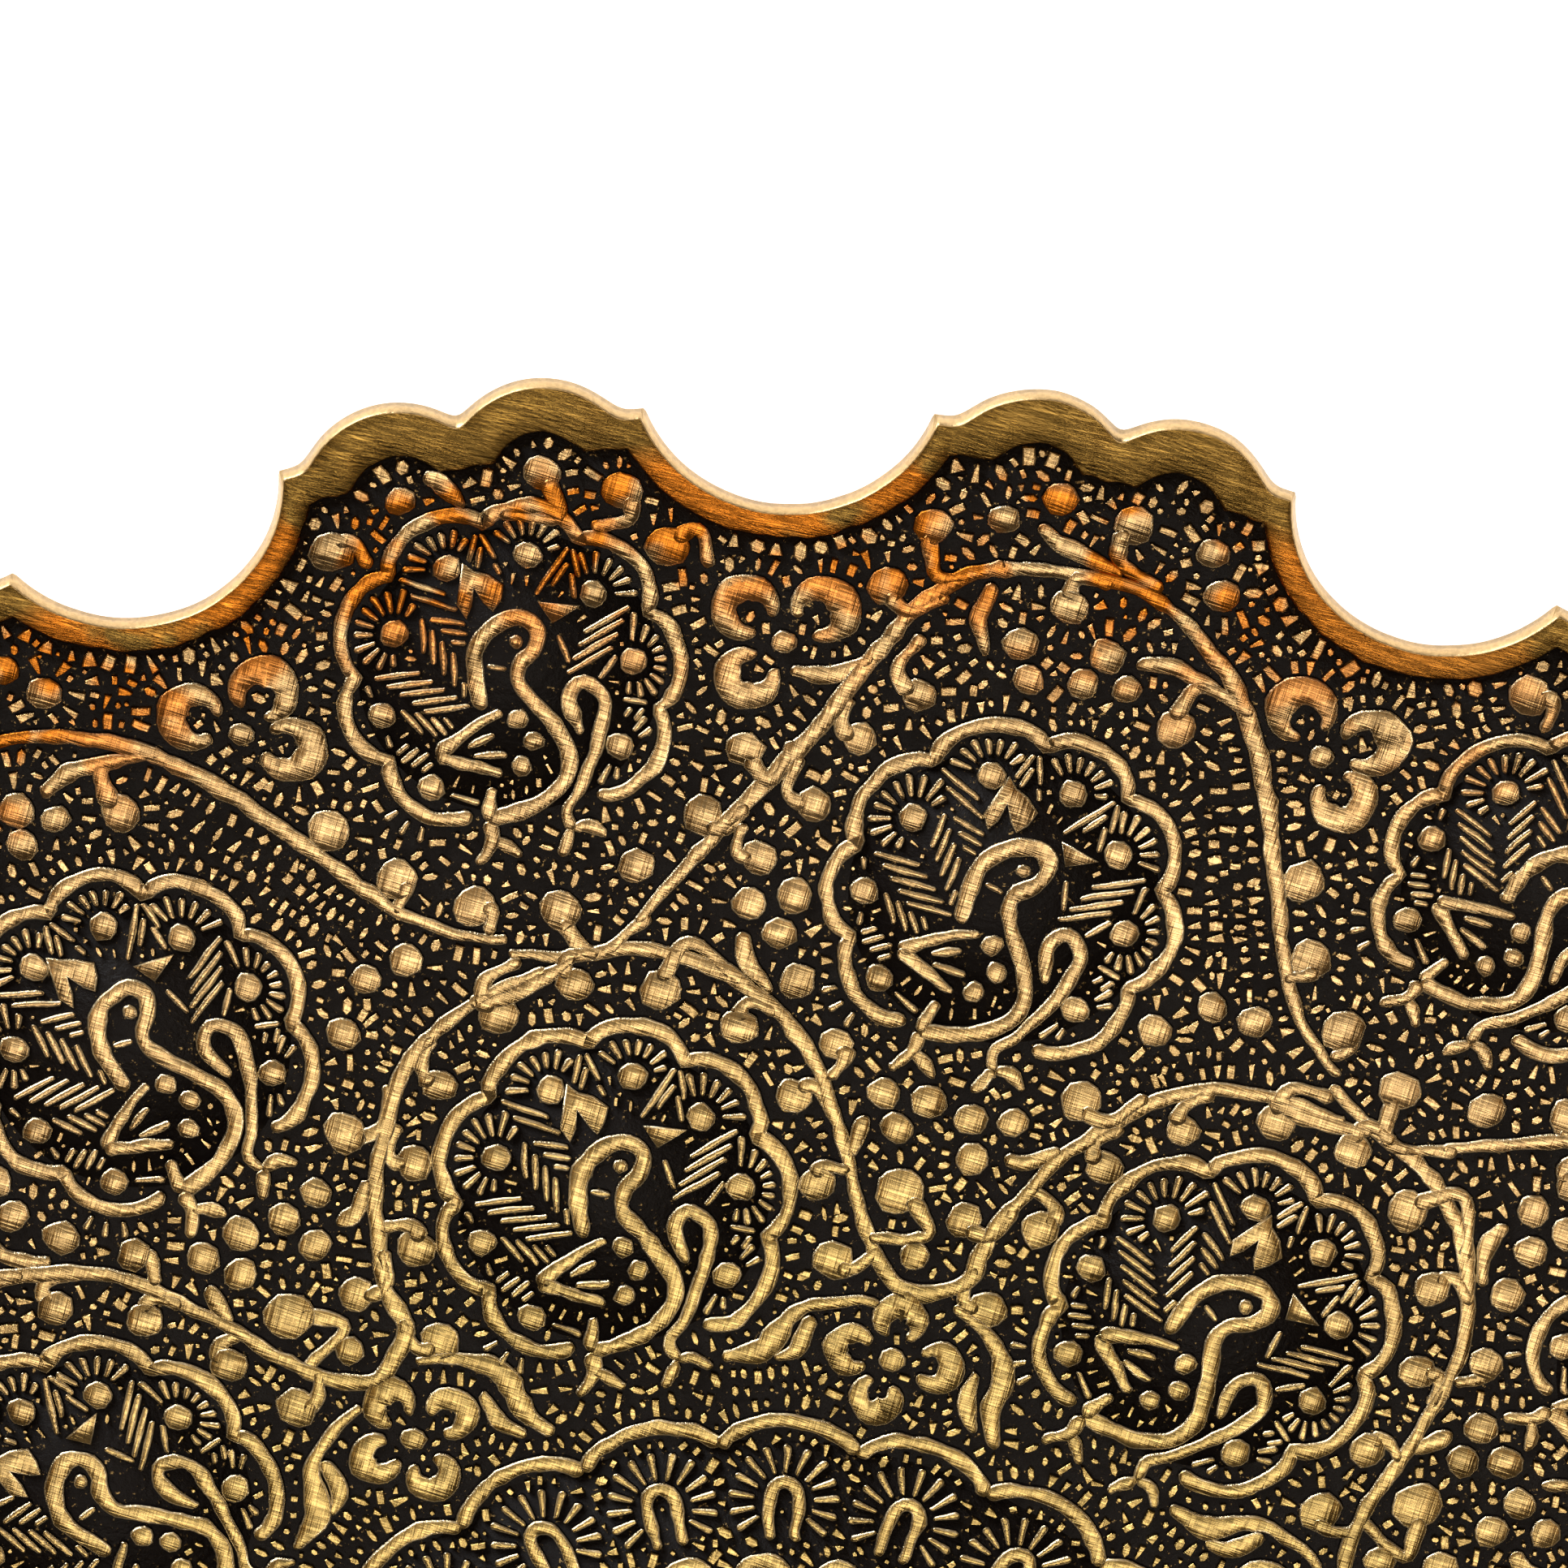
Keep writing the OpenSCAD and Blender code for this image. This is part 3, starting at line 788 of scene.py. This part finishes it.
leaves = (((18.3, 113.3), (20.5, 111.6), (24.5, 109.6)), ((25.8, 102.7), (29, 102.4), (33.2, 99.8)),
          ((0.5, 101.5), (3.5, 101.2), (6.6, 102.6)), ((15.2, 108.7), (14.2, 106), (14.8, 103)),
          ((-26.4, 116), (-25.2, 115.8), (-23.4, 113.8)), ((-2.7, 81), (-2.2, 78.6), (-0.3, 76.3)),
          ((6.9, 66.8), (6.5, 65.2), (5.9, 63.4)), ((17.4, 63.6), (19.2, 63.3), (21.6, 64.4)),
          ((-22.9, 75), (-19.5, 75.8), (-15, 78.6)))


def tailShape(x, y, radius, joinX, joinY, bow):
    start, end = np.array([x, y]), np.array([joinX, joinY])
    way = end - start
    left = np.array([-way[1], way[0]])
    edgeStart = start + 0.5 * radius * left / np.linalg.norm(left) * np.sign(bow)
    return stroke([edgeStart, start + way * 0.42 + left * bow * 1.45, end], [0.8, 0.6, 0.46, 0.58])


vineShapes = [stroke(outerVine, vineHalf["outer"]), stroke(innerVine, vineHalf["inner"])]
vineShapes += [tailShape(*bud) for bud in buds]
vineShapes += [stroke(leaf, [0.5, 0.75, 0.6, 0.35]) for leaf in leaves]
budShapes = [disc(bud[0], bud[1], bud[2]) for bud in buds] + [disc(*berry) for berry in berries]
figures += vineShapes + budShapes
vinePile, budPile = newPile(), newPile()
cutRound((vinePile, vineShapes), (budPile, budShapes))
makeObject("vines", vinePile, figureFinishes, ["vine_stems"])
makeObject("budsAndBerries", budPile, figureFinishes, ["berries"])


# Flowers

print("stage: flowers")
flower = {"outerReach": 103.7, "innerReach": 48.2, "outerHalf": 1.0, "innerHalf": 0.92}


def heartPetal(angle, reach, radius, half, opening=115):  # open ring with its mouth to the flower's middle
    around = np.radians(angle + np.linspace(-180 + opening / 2, 180 - opening / 2, 11))
    middle = reach * np.array([math.cos(math.radians(angle)), math.sin(math.radians(angle))])
    line = middle + (radius - half) * np.column_stack([np.cos(around), np.sin(around)])
    return stroke(line, [half * 0.4, half * 0.95, half * 1.25, half * 0.95, half * 0.4])


def outerFlower(lastPetal):
    shapes = [disc(0, 0, 0.95)]
    for angle, reach, radius in ((137, 3.6, 2.85), (42, 3.6, 2.85), (lastPetal, 3.5, 2.75)):
        shapes.append(heartPetal(angle, reach, radius, flower["outerHalf"], 56))
    return shapes


def innerFlower():
    shapes = [disc(0, 0, 1.0)]
    for angle, reach, mouth in ((90, 3.0, 64), (262, 3.1, 64), (178, 3.0, 70), (2, 3.3, 70)):
        shapes.append(heartPetal(angle, reach, 2.3, flower["innerHalf"], mouth))
    sprays = ((((-12.6, -2.6), (-9.6, -1.2), (-7.9, 2.2), (-4.5, 3.9), (-1.9, 4.3)),
               [0.4, 1.1, 0.6, 0.5, 0.4]),
              (((-8.7, -1.8), (-7.2, -0.6), (-6.7, 2.2)), [0.3, 0.8, 0.5]),
              (((3.6, 5.2), (6.6, 3.6), (8.6, 0.6), (8.3, -2.4), (9.2, -5.4)), [0.4, 0.55, 1.0, 0.9, 0.4]),
              (((6.5, 0.4), (6.3, -2.2), (7.4, -4.4)), [0.3, 0.8, 0.4]))
    return shapes + [stroke(line, halves) for line, halves in sprays]


flowerHere = placed(outerFlower(228), flower["outerReach"], 0)
innerFlowerHere = placed(innerFlower(), flower["innerReach"], turn / 4)
figures += flowerHere + innerFlowerHere
outerFlowerPile, innerFlowerPile = newPile(), newPile()
cutRound((outerFlowerPile, flowerHere), (innerFlowerPile, innerFlowerHere))
betweenFlower = placed(outerFlower(321), flower["outerReach"], turn / 2)
figures += betweenFlower
cutRound((outerFlowerPile, betweenFlower))
makeObject("outerFlowers", outerFlowerPile, figureFinishes, ["outer_flowers"])
makeObject("innerFlowers", innerFlowerPile, figureFinishes, ["inner_flowers"])


# Rosette

print("stage: rosette")
rosette = {"lobes": 24, "shift": -5.1, "topReach": rosetteRadius - 0.75, "cuspReach": rosetteRadius - 2.9,
           "lineHalf": 0.62, "rayCount": 13, "petals": 32, "archReach": 37.6, "rayRise": -1.9,
           "petalReach": 29.0, "beadReach": 23.4, "tickReach": 21.9, "ringReach": 20.6, "loopReach": 18.6,
           "loops": 12}


lobeTurn = 360 / rosette["lobes"]


def rosetteFrameShapes():
    share = np.linspace(-1, 1, 13)
    dip = (1 - np.sqrt(1 - 0.8 * share ** 2)) / (1 - math.sqrt(0.2))
    reach = rosette["topReach"] - (rosette["topReach"] - rosette["cuspReach"]) * dip
    shapes = []
    for k in range(rosette["lobes"]):
        angle = rosette["shift"] + (k + 0.5) * lobeTurn + share * lobeTurn / 2
        shapes.append(stroke(polar(reach, angle), rosette["lineHalf"], False))
    return shapes


def rosetteFill():
    arch = [(-0.95, -5.2), (-1.1, -2.4), (-0.85, -0.9), (0, -0.35), (0.85, -0.9), (1.1, -2.4), (0.95, -5.2)]
    shapes = []
    for k in range(rosette["lobes"]):
        angle = rosette["shift"] + (k + 0.5) * lobeTurn
        shapes += placed([stroke(arch, [0.45, 0.52, 0.6, 0.52, 0.45])], rosette["archReach"], angle)
        for lean in np.linspace(-128, 128, rosette["rayCount"]):
            way = local([90 + lean], 1)[0]
            reach = 4.6 if abs(lean) < 60 else 4.3
            start, end = [0, rosette["rayRise"]] + way * 2.25, [0, rosette["rayRise"]] + way * reach
            shapes += placed([stroke([start, end], [0.18, 0.34], False)], rosette["archReach"], angle)
    return shapes


outerFrameShapes = rosetteFrameShapes()
petalShapes = rosetteFill()
for k in range(rosette["petals"]):
    petalShapes += placed([heartPetal(90, 0, 2.3, 0.62, 70),
                           stroke([(0, -1.2), (0, -4.4)], [0.3, 0.2], False)],
                          rosette["petalReach"], k * 360 / rosette["petals"])
petalShapes.append(stroke(polar(np.full(121, rosette["ringReach"]), np.linspace(0, 360, 121)), 0.5, False))
for k in range(rosette["lobes"]):
    angle = rosette["shift"] + k * lobeTurn
    petalShapes += placed([disc(0, 0, 0.95)], rosette["beadReach"], angle)
    petalShapes += placed([stroke([(0, 0), (0, 1.5)], [0.3, 0.2], False)], rosette["tickReach"],
                          angle + lobeTurn / 2)
loopTurn = 360 / rosette["loops"]
for k in range(rosette["loops"]):
    petalShapes += placed([stroke([(-1.7, -6.2), (-2.2, -2.2), (0, 0), (2.2, -2.2), (1.7, -6.2)],
                                  [0.45, 0.55, 0.6, 0.55, 0.45]), disc(0, -3.2, 0.8),
                           stroke([(0, -4.6), (0, -7.6)], [0.35, 0.2], False)],
                          rosette["loopReach"], k * loopTurn)
    petalShapes += placed([stroke([(0, -1), (0, -4)], [0.4, 0.2], False)], rosette["loopReach"],
                          k * loopTurn + loopTurn / 2)
rosetteFramePile, petalPile, bossPile = newPile(), newPile(), newPile()
cutShapes(rosetteFramePile, outerFrameShapes)
cutShapes(petalPile, petalShapes)
cutShapes(bossPile, [disc(0, 0, bossRadius - 0.4)])
makeObject("rosetteFrame", rosetteFramePile, figureFinishes, ["rosette_frame"])
makeObject("rosettePetals", petalPile, figureFinishes, ["rosette_petals"])
makeObject("centreBoss", bossPile, figureFinishes, ["centre_boss"])


# Lacquer pools inside the roundels and the rosette

print("stage: pools")


def addPool(pile, outline, level):
    count = len(outline)
    addFaces(pile, ringQuads(0, count, count))
    addFaces(pile, [list(range(count, 2 * count))])
    addFaces(pile, [list(range(count - 1, -1, -1))])
    addPoints(pile, np.vstack([lift(outline, level - 0.1), lift(outline, level)]))


poolLevel = lacquerLevel + 0.02  # just over the lacquer of the field
poolOutline = local(np.linspace(0, 360, 48, endpoint=False), 0.84)
for ringName, ring in rings.items():
    pile = newPile()
    for k in range(folds):
        outline = turned(poolOutline * ring["size"] + [0, ring["radius"]], ring["angle"] + k * turn)
        addPool(pile, outline, poolLevel)
    makeObject(ringName + "RoundelLacquer", pile, [blackLacquer], [ringName + "_roundel_lacquer"])
rosettePool = newPile()
addPool(rosettePool, local(np.linspace(0, 360, 120, endpoint=False), rosetteRadius - 2.5), poolLevel)
makeObject("rosetteLacquer", rosettePool, [blackLacquer], ["rosette_lacquer"])


# Short strokes left standing all over the ground

print("stage: ground strokes")
ground = {"pitch": 0.3, "rowLength": 1.2, "rowPitch": 1.45, "firstGap": 0.28, "sideGap": 0.94,
          "half": 0.3, "borderHalf": 0.46, "borderRows": 2.6, "borderSideGap": 1.1, "leastGap": 0.4,
          "cell": 1.6}


def boundaryPoints(shape):
    if shape["kind"] == "stroke":
        path, half = penPath(shape, 0.35)
        side = sideways(path)
        return np.vstack([path + side * half[:, None], path - side * half[:, None], path])
    if shape["kind"] == "disc":
        angle = np.linspace(0, 2 * math.pi, 24, endpoint=False)
        rim = np.column_stack([np.cos(angle), np.sin(angle)]) * float(shape["half"])
        return np.vstack([shape["points"][0] + rim * share for share in (1, 0.6, 0.2)])
    closed = np.vstack([shape["points"], shape["points"][:1]])
    outline = alongPath(closed, np.arange(0, pathLength(closed), 0.3))
    return np.vstack([outline, outline.mean(axis=0) + (outline - outline.mean(axis=0)) * 0.5])


def groundSpots():  # one eighth of the ground: place, gap to a line, way from it, whether it is the border
    taken = np.vstack([boundaryPoints(shape) for shape in figures])
    taken = np.vstack([turned(taken, k * turn) for k in (-1, 0, 1)])
    rosetteLine = np.vstack([boundaryPoints(shape) for shape in outerFrameShapes + petalShapes])
    borderLine = polar(fieldEdge(), rays)
    near = np.abs((rays + 180) % 360 - 180) < turn
    taken = np.vstack([taken, rosetteLine[rosetteLine[:, 1] > 0], borderLine[near]])
    isBorder = len(taken) - near.sum()
    tree = KDTree(len(taken))
    for k, point in enumerate(taken):
        tree.insert((point[0], point[1], 0), k)
    tree.balance()
    step = ground["pitch"]
    grid = np.stack(np.meshgrid(np.arange(-50, 50, step), np.arange(0, 122, step)), axis=-1)
    grid = grid.reshape(-1, 2)
    grid += chance.uniform(-0.4 * step, 0.4 * step, grid.shape)
    angle = np.degrees(np.arctan2(grid[:, 0], grid[:, 1]))
    reach = np.hypot(grid[:, 0], grid[:, 1])
    limit = np.interp(angle % 360, rays, fieldEdge(0.5), period=360)
    grid = grid[(np.abs(angle) <= turn / 2) & (reach < limit) & (reach > 6)]
    found = []
    for x, y in grid:
        hits = tree.find_n((x, y, 0), 3)
        gap = hits[0][2]
        if gap < ground["leastGap"]:
            continue
        away = Vector((x, y, 0)) * 3 - hits[0][0] - hits[1][0] - hits[2][0]
        found.append((x, y, gap, math.atan2(away.y, away.x), hits[0][1] >= isBorder))
    return found


def inRoundel(x, y, share=0.86):  # the middle of the roundel that a place lies in, if any
    for ring in rings.values():
        middle = polar(np.array([ring["radius"]]), np.array([ring["angle"]]))[0]
        for centre in (middle, turned([middle], turn)[0], turned([middle], -turn)[0]):
            if math.hypot(x - centre[0], y - centre[1]) < ring["size"] * share:
                return centre
    return None


def chooseStrokes(found):
    cells, chosen = {}, []

    def cellOf(x, y):
        return int(x // ground["cell"]), int(y // ground["cell"])

    def neighbours(x, y):
        cx, cy = cellOf(x, y)
        for i in (cx - 1, cx, cx + 1):
            for j in (cy - 1, cy, cy + 1):
                yield from cells.get((i, j), ())

    def fits(x, y, way, length, sideGap, endGap):
        c, s = math.cos(way), math.sin(way)
        for ox, oy, oway, olength in neighbours(x, y):
            dx, dy = ox - x, oy - y
            along, across = abs(dx * c + dy * s), abs(dy * c - dx * s)
            lean = abs(math.sin(way - oway))
            reachHere = (length + olength * (1 - lean)) / 2 + endGap
            if along < reachHere and across < sideGap + 0.35 * lean * olength:
                return False
        return True

    def keep(x, y, way, length, half):
        cells.setdefault(cellOf(x, y), []).append((x, y, way, length))
        chosen.append((x, y, way, length, half))

    order = []
    for x, y, gap, way, border in found:
        if inRoundel(x, y, 0.5) is not None:  # the lacquer round the bird stays plain
            continue
        length = ground["rowLength"] * chance.uniform(0.75, 1.3)
        row = int(round((gap - ground["firstGap"] - length / 2) / ground["rowPitch"]))
        miss = abs(gap - ground["firstGap"] - length / 2 - row * ground["rowPitch"])
        order.append((max(row, 0) + miss, x, y, gap, way, border, length))
    order.sort()
    for score, x, y, gap, way, border, length in order:
        centre = inRoundel(x, y)
        half = ground["half"]
        if border and gap < ground["borderRows"]:  # the rows along the border are cut larger
            half, length = ground["borderHalf"], length * 1.15
        if centre is not None:
            way, length, half = math.atan2(y - centre[1], x - centre[0]), length * 0.8, 0.15
        if gap < ground["firstGap"] + 0.42 * length or (score % 1) > 0.3:
            continue
        sideGap = ground["borderSideGap"] if border else ground["sideGap"]
        if fits(x, y, way, length, sideGap, 0.24):
            keep(x, y, way + chance.normal() * 0.14, length, half * chance.uniform(0.7, 1.35))
    # smaller strokes in the spaces left: share of places tried, least gap, length, half width
    for share, least, length, half in ((1.0, 0.66, 0.66, 0.24), (0.5, 0.5, 0.36, 0.18)):
        for _, x, y, gap, way, *_ in order:
            if gap < least or chance.random() > share:
                continue
            if fits(x, y, way, length, 0.75, 0.34):
                keep(x, y, way + chance.normal() * 0.3, length * chance.uniform(0.8, 1.2), half)
    return chosen


markOutlines = {"block": ((-.5, -.42), (.46, -.5), (.5, .36), (.1, .5), (-.46, .44)),
                "wedge": ((-.5, -.12), (-.1, -.36), (.5, -.5), (.42, .5), (-.44, .16)),
                "spindle": ((-.5, -.1), (-.22, -.5), (.3, -.42), (.5, .12), (.2, .5), (-.3, .4))}


def chiselMark(name, outline):  # one stroke, one unit long and wide and high
    count = len(outline)
    points = [(x * 1.12, y * 1.2, 0) for x, y in outline]
    points += [(x, y, 0.9) for x, y in outline]
    points += [(x * 0.88, y * 0.78, 1) for x, y in outline]
    after = [(k + 1) % count for k in range(count)]
    faces = [[base + k, base + after[k], base + count + after[k], base + count + k]
             for base in (0, count) for k in range(count)]
    faces += [list(range(2 * count, 3 * count)), list(range(count - 1, -1, -1))]
    mesh = bpy.data.meshes.new(name)
    mesh.from_pydata(points, [], faces)
    return linked(name, mesh)


def scatterTree():  # puts a mark on every point, turned and sized by what the point carries
    tree = bpy.data.node_groups.new("scatterMarks", "GeometryNodeTree")
    face = tree.interface
    face.new_socket(name="Geometry", in_out="INPUT", socket_type="NodeSocketGeometry")
    for name in markOutlines:
        face.new_socket(name=name, in_out="INPUT", socket_type="NodeSocketObject")
    face.new_socket(name="Material", in_out="INPUT", socket_type="NodeSocketMaterial")
    face.new_socket(name="Uneven", in_out="INPUT", socket_type="NodeSocketFloat").default_value = 0.1
    face.new_socket(name="Seed", in_out="INPUT", socket_type="NodeSocketInt").default_value = 5
    face.new_socket(name="Geometry", in_out="OUTPUT", socket_type="NodeSocketGeometry")
    given = tree.nodes.new("NodeGroupInput").outputs
    choice = tree.nodes.new("GeometryNodeGeometryToInstance")
    for name in markOutlines:
        mark = addNode(tree, "GeometryNodeObjectInfo", {"Object": given[name], "As Instance": True})
        tree.links.new(mark.outputs["Geometry"], choice.inputs[0])
    pick = addNode(tree, "FunctionNodeRandomValue", {"Seed": given["Seed"]}, data_type="INT")
    pick.inputs[4].default_value = 0
    pick.inputs[5].default_value = len(markOutlines) - 1
    aim = addNode(tree, "GeometryNodeInputNamedAttribute", {"Name": "aim"}, data_type="FLOAT_VECTOR")
    size = addNode(tree, "GeometryNodeInputNamedAttribute", {"Name": "size"}, data_type="FLOAT_VECTOR")
    low = addNode(tree, "ShaderNodeMath", {0: 1.0, 1: given["Uneven"]}, operation="SUBTRACT").outputs[0]
    spread = addNode(tree, "FunctionNodeRandomValue", {"Min": low, "Max": 1.0, "Seed": given["Seed"]},
                     data_type="FLOAT")
    scaled = addNode(tree, "ShaderNodeVectorMath", {0: size.outputs[0]}, operation="SCALE")
    tree.links.new(spread.outputs[1], scaled.inputs["Scale"])
    rotation = addNode(tree, "FunctionNodeEulerToRotation", {0: aim.outputs[0]})
    marks = addNode(tree, "GeometryNodeInstanceOnPoints", {"Points": given["Geometry"],
                                                           "Instance": choice.outputs[0],
                                                           "Pick Instance": True,
                                                           "Instance Index": pick.outputs[2],
                                                           "Rotation": rotation.outputs[0],
                                                           "Scale": scaled.outputs[0]})
    real = addNode(tree, "GeometryNodeRealizeInstances", {"Geometry": marks.outputs[0]})
    dressed = addNode(tree, "GeometryNodeSetMaterial", {"Geometry": real.outputs[0],
                                                        "Material": given["Material"]})
    tree.links.new(dressed.outputs[0], tree.nodes.new("NodeGroupOutput").inputs[0])
    return tree


def aimOf(x, y, way):  # lies on the dished sheet
    reach = math.hypot(x, y)
    slope = math.asin(max(reach - floorRadius, 0) / (curveRadius - groundLevel))
    axis = Vector((-y, x, 0)) / max(reach, 1e-6)
    return (Matrix.Rotation(-slope, 3, axis) @ Matrix.Rotation(way, 3, "Z")).to_euler()


def scatterMarks(name, spots, tree, marks):
    mesh = bpy.data.meshes.new(name + "Points")
    plan = np.array([spot[:2] for spot in spots])
    mesh.from_pydata(lift(plan, groundLevel).tolist(), [], [])
    aims = np.array([aimOf(x, y, way) for x, y, way, length, half in spots], float)
    tall = figureTop - groundLevel
    sizes = np.array([(length, 2 * half, tall) for x, y, way, length, half in spots]) * mm
    mesh.attributes.new("aim", "FLOAT_VECTOR", "POINT").data.foreach_set("vector", aims.ravel())
    mesh.attributes.new("size", "FLOAT_VECTOR", "POINT").data.foreach_set("vector", sizes.ravel())
    points = linked(name + "Points", mesh)
    modifier = points.modifiers.new("marks", "NODES")
    modifier.node_group = tree
    wanted = {**marks, "Material": groundBrass, "Uneven": 0.12, "Seed": 5}
    for item in tree.interface.items_tree:
        if item.in_out == "INPUT" and item.name in wanted:
            modifier[item.identifier] = wanted[item.name]
    seen = points.evaluated_get(bpy.context.evaluated_depsgraph_get())
    plain = bpy.data.meshes.new_from_object(seen)
    bpy.data.objects.remove(points)
    thing = linked(name, plain)
    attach(thing, "root")
    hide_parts("field_lacquer")
    print("  ", name, len(spots), "marks", len(plain.polygons), "faces")


spots = chooseStrokes(groundSpots())
print("  ", len(spots), "marks in one eighth")
allSpots = []
for k in range(folds):
    plan = turned([spot[:2] for spot in spots], k * turn)
    for (x, y), spot in zip(plan, spots):
        allSpots.append((x, y, spot[2] - math.radians(k * turn), *spot[3:]))
allSpots.sort(key=lambda spot: math.hypot(spot[0], spot[1]))
markObjects = {name: chiselMark(name, outline) for name, outline in markOutlines.items()}
markTree = scatterTree()
marksEach = 4200  # keeps each object light
for number, start in enumerate(range(0, len(allSpots), marksEach)):
    scatterMarks("groundMarks" + str(number + 1), allSpots[start:start + marksEach], markTree, markObjects)
for markObject in markObjects.values():
    bpy.data.objects.remove(markObject)


# Floor, light and camera

print("stage: studio")


def makeFloor():
    mesh = bpy.data.meshes.new("floor")
    wide = 3.0
    mesh.from_pydata([(-wide, -wide, 0), (wide, -wide, 0), (wide, wide, 0), (-wide, wide, 0)], [],
                     [(0, 1, 2, 3)])
    floor = linked("floor", mesh)
    material, tree, shader, place = newMaterial("paleFloor")
    shader.inputs["Base Color"].default_value = (0.95, 0.95, 0.95, 1)
    shader.inputs["Roughness"].default_value = 0.9
    shader.inputs["Emission Color"].default_value = (1, 1, 1, 1)
    shader.inputs["Emission Strength"].default_value = 0.9
    mesh.materials.append(material)


def addPanel(name, place, target, size, power, colour):
    data = bpy.data.lights.new(name, "AREA")
    data.shape = "RECTANGLE"
    data.size, data.size_y = size
    data.energy = power
    data.color = colour
    lamp = linked(name, data)
    lamp.location = place
    lamp.rotation_euler = (Vector(target) - Vector(place)).to_track_quat("-Z", "Y").to_euler()


def makeWorld():
    world = bpy.data.worlds.new("studio")
    bpy.context.scene.world = world
    world.use_nodes = True
    tree = world.node_tree
    way = addNode(tree, "ShaderNodeTexCoord").outputs["Generated"]
    parts = addNode(tree, "ShaderNodeSeparateXYZ", {0: way}).outputs
    ramp = addNode(tree, "ShaderNodeValToRGB", {"Fac": parts["Z"]})
    stops = ((0.0, (0.30, 0.27, 0.24, 1)), (0.55, (0.10, 0.08, 0.06, 1)), (0.76, (0.12, 0.09, 0.05, 1)),
             (0.82, (1.0, 0.62, 0.28, 1)), (0.88, (0.9, 0.72, 0.5, 1)), (0.95, (0.7, 0.65, 0.58, 1)))
    for end, stop in zip(ramp.color_ramp.elements, (stops[0], stops[-1])):
        end.position, end.color = stop
    for position, colour in stops[1:-1]:
        ramp.color_ramp.elements.new(position).color = colour
    tree.links.new(ramp.outputs[0], tree.nodes["Background"].inputs["Color"])
    tree.nodes["Background"].inputs["Strength"].default_value = 1.0


makeFloor()
makeWorld()
addPanel("overheadPanel", (0.05, -0.30, 0.95), (0, 0.04, 0), (0.8, 0.42), 4.0, (1, 0.97, 0.92))
addPanel("sidePanel", (-0.6, 0.9, 0.35), (0, 0.05, 0), (0.8, 0.4), 14.0, (0.95, 0.97, 1))
scene = bpy.context.scene
scene.view_settings.view_transform = "Standard"

cameraSettings = {"tilt": 106, "distance": 515.6, "across": -2.27, "along": -88.9, "turn": 1.25,
                  "lens": 152.4, "sensor": 36}
tilt = math.radians(cameraSettings["tilt"])
right = Vector((1, 0, 0))
up = Vector((0, math.sin(tilt), math.cos(tilt)))
forward = Vector((0, math.cos(tilt), -math.sin(tilt)))
spot = -cameraSettings["distance"] * forward
spot = spot - cameraSettings["across"] * right - cameraSettings["along"] * up
spot.z += figureTop
facing = Matrix((right, up, -forward)).transposed().to_4x4()
spin = Matrix.Rotation(math.radians(cameraSettings["turn"]), 4, "Z")
cameraData = bpy.data.cameras.new("camera")
cameraData.lens = cameraSettings["lens"]
cameraData.sensor_width = cameraSettings["sensor"]
cameraData.clip_start = 0.01
camera = linked("camera", cameraData)
camera.matrix_world = spin @ Matrix.Translation(spot * mm) @ facing
scene.camera = camera
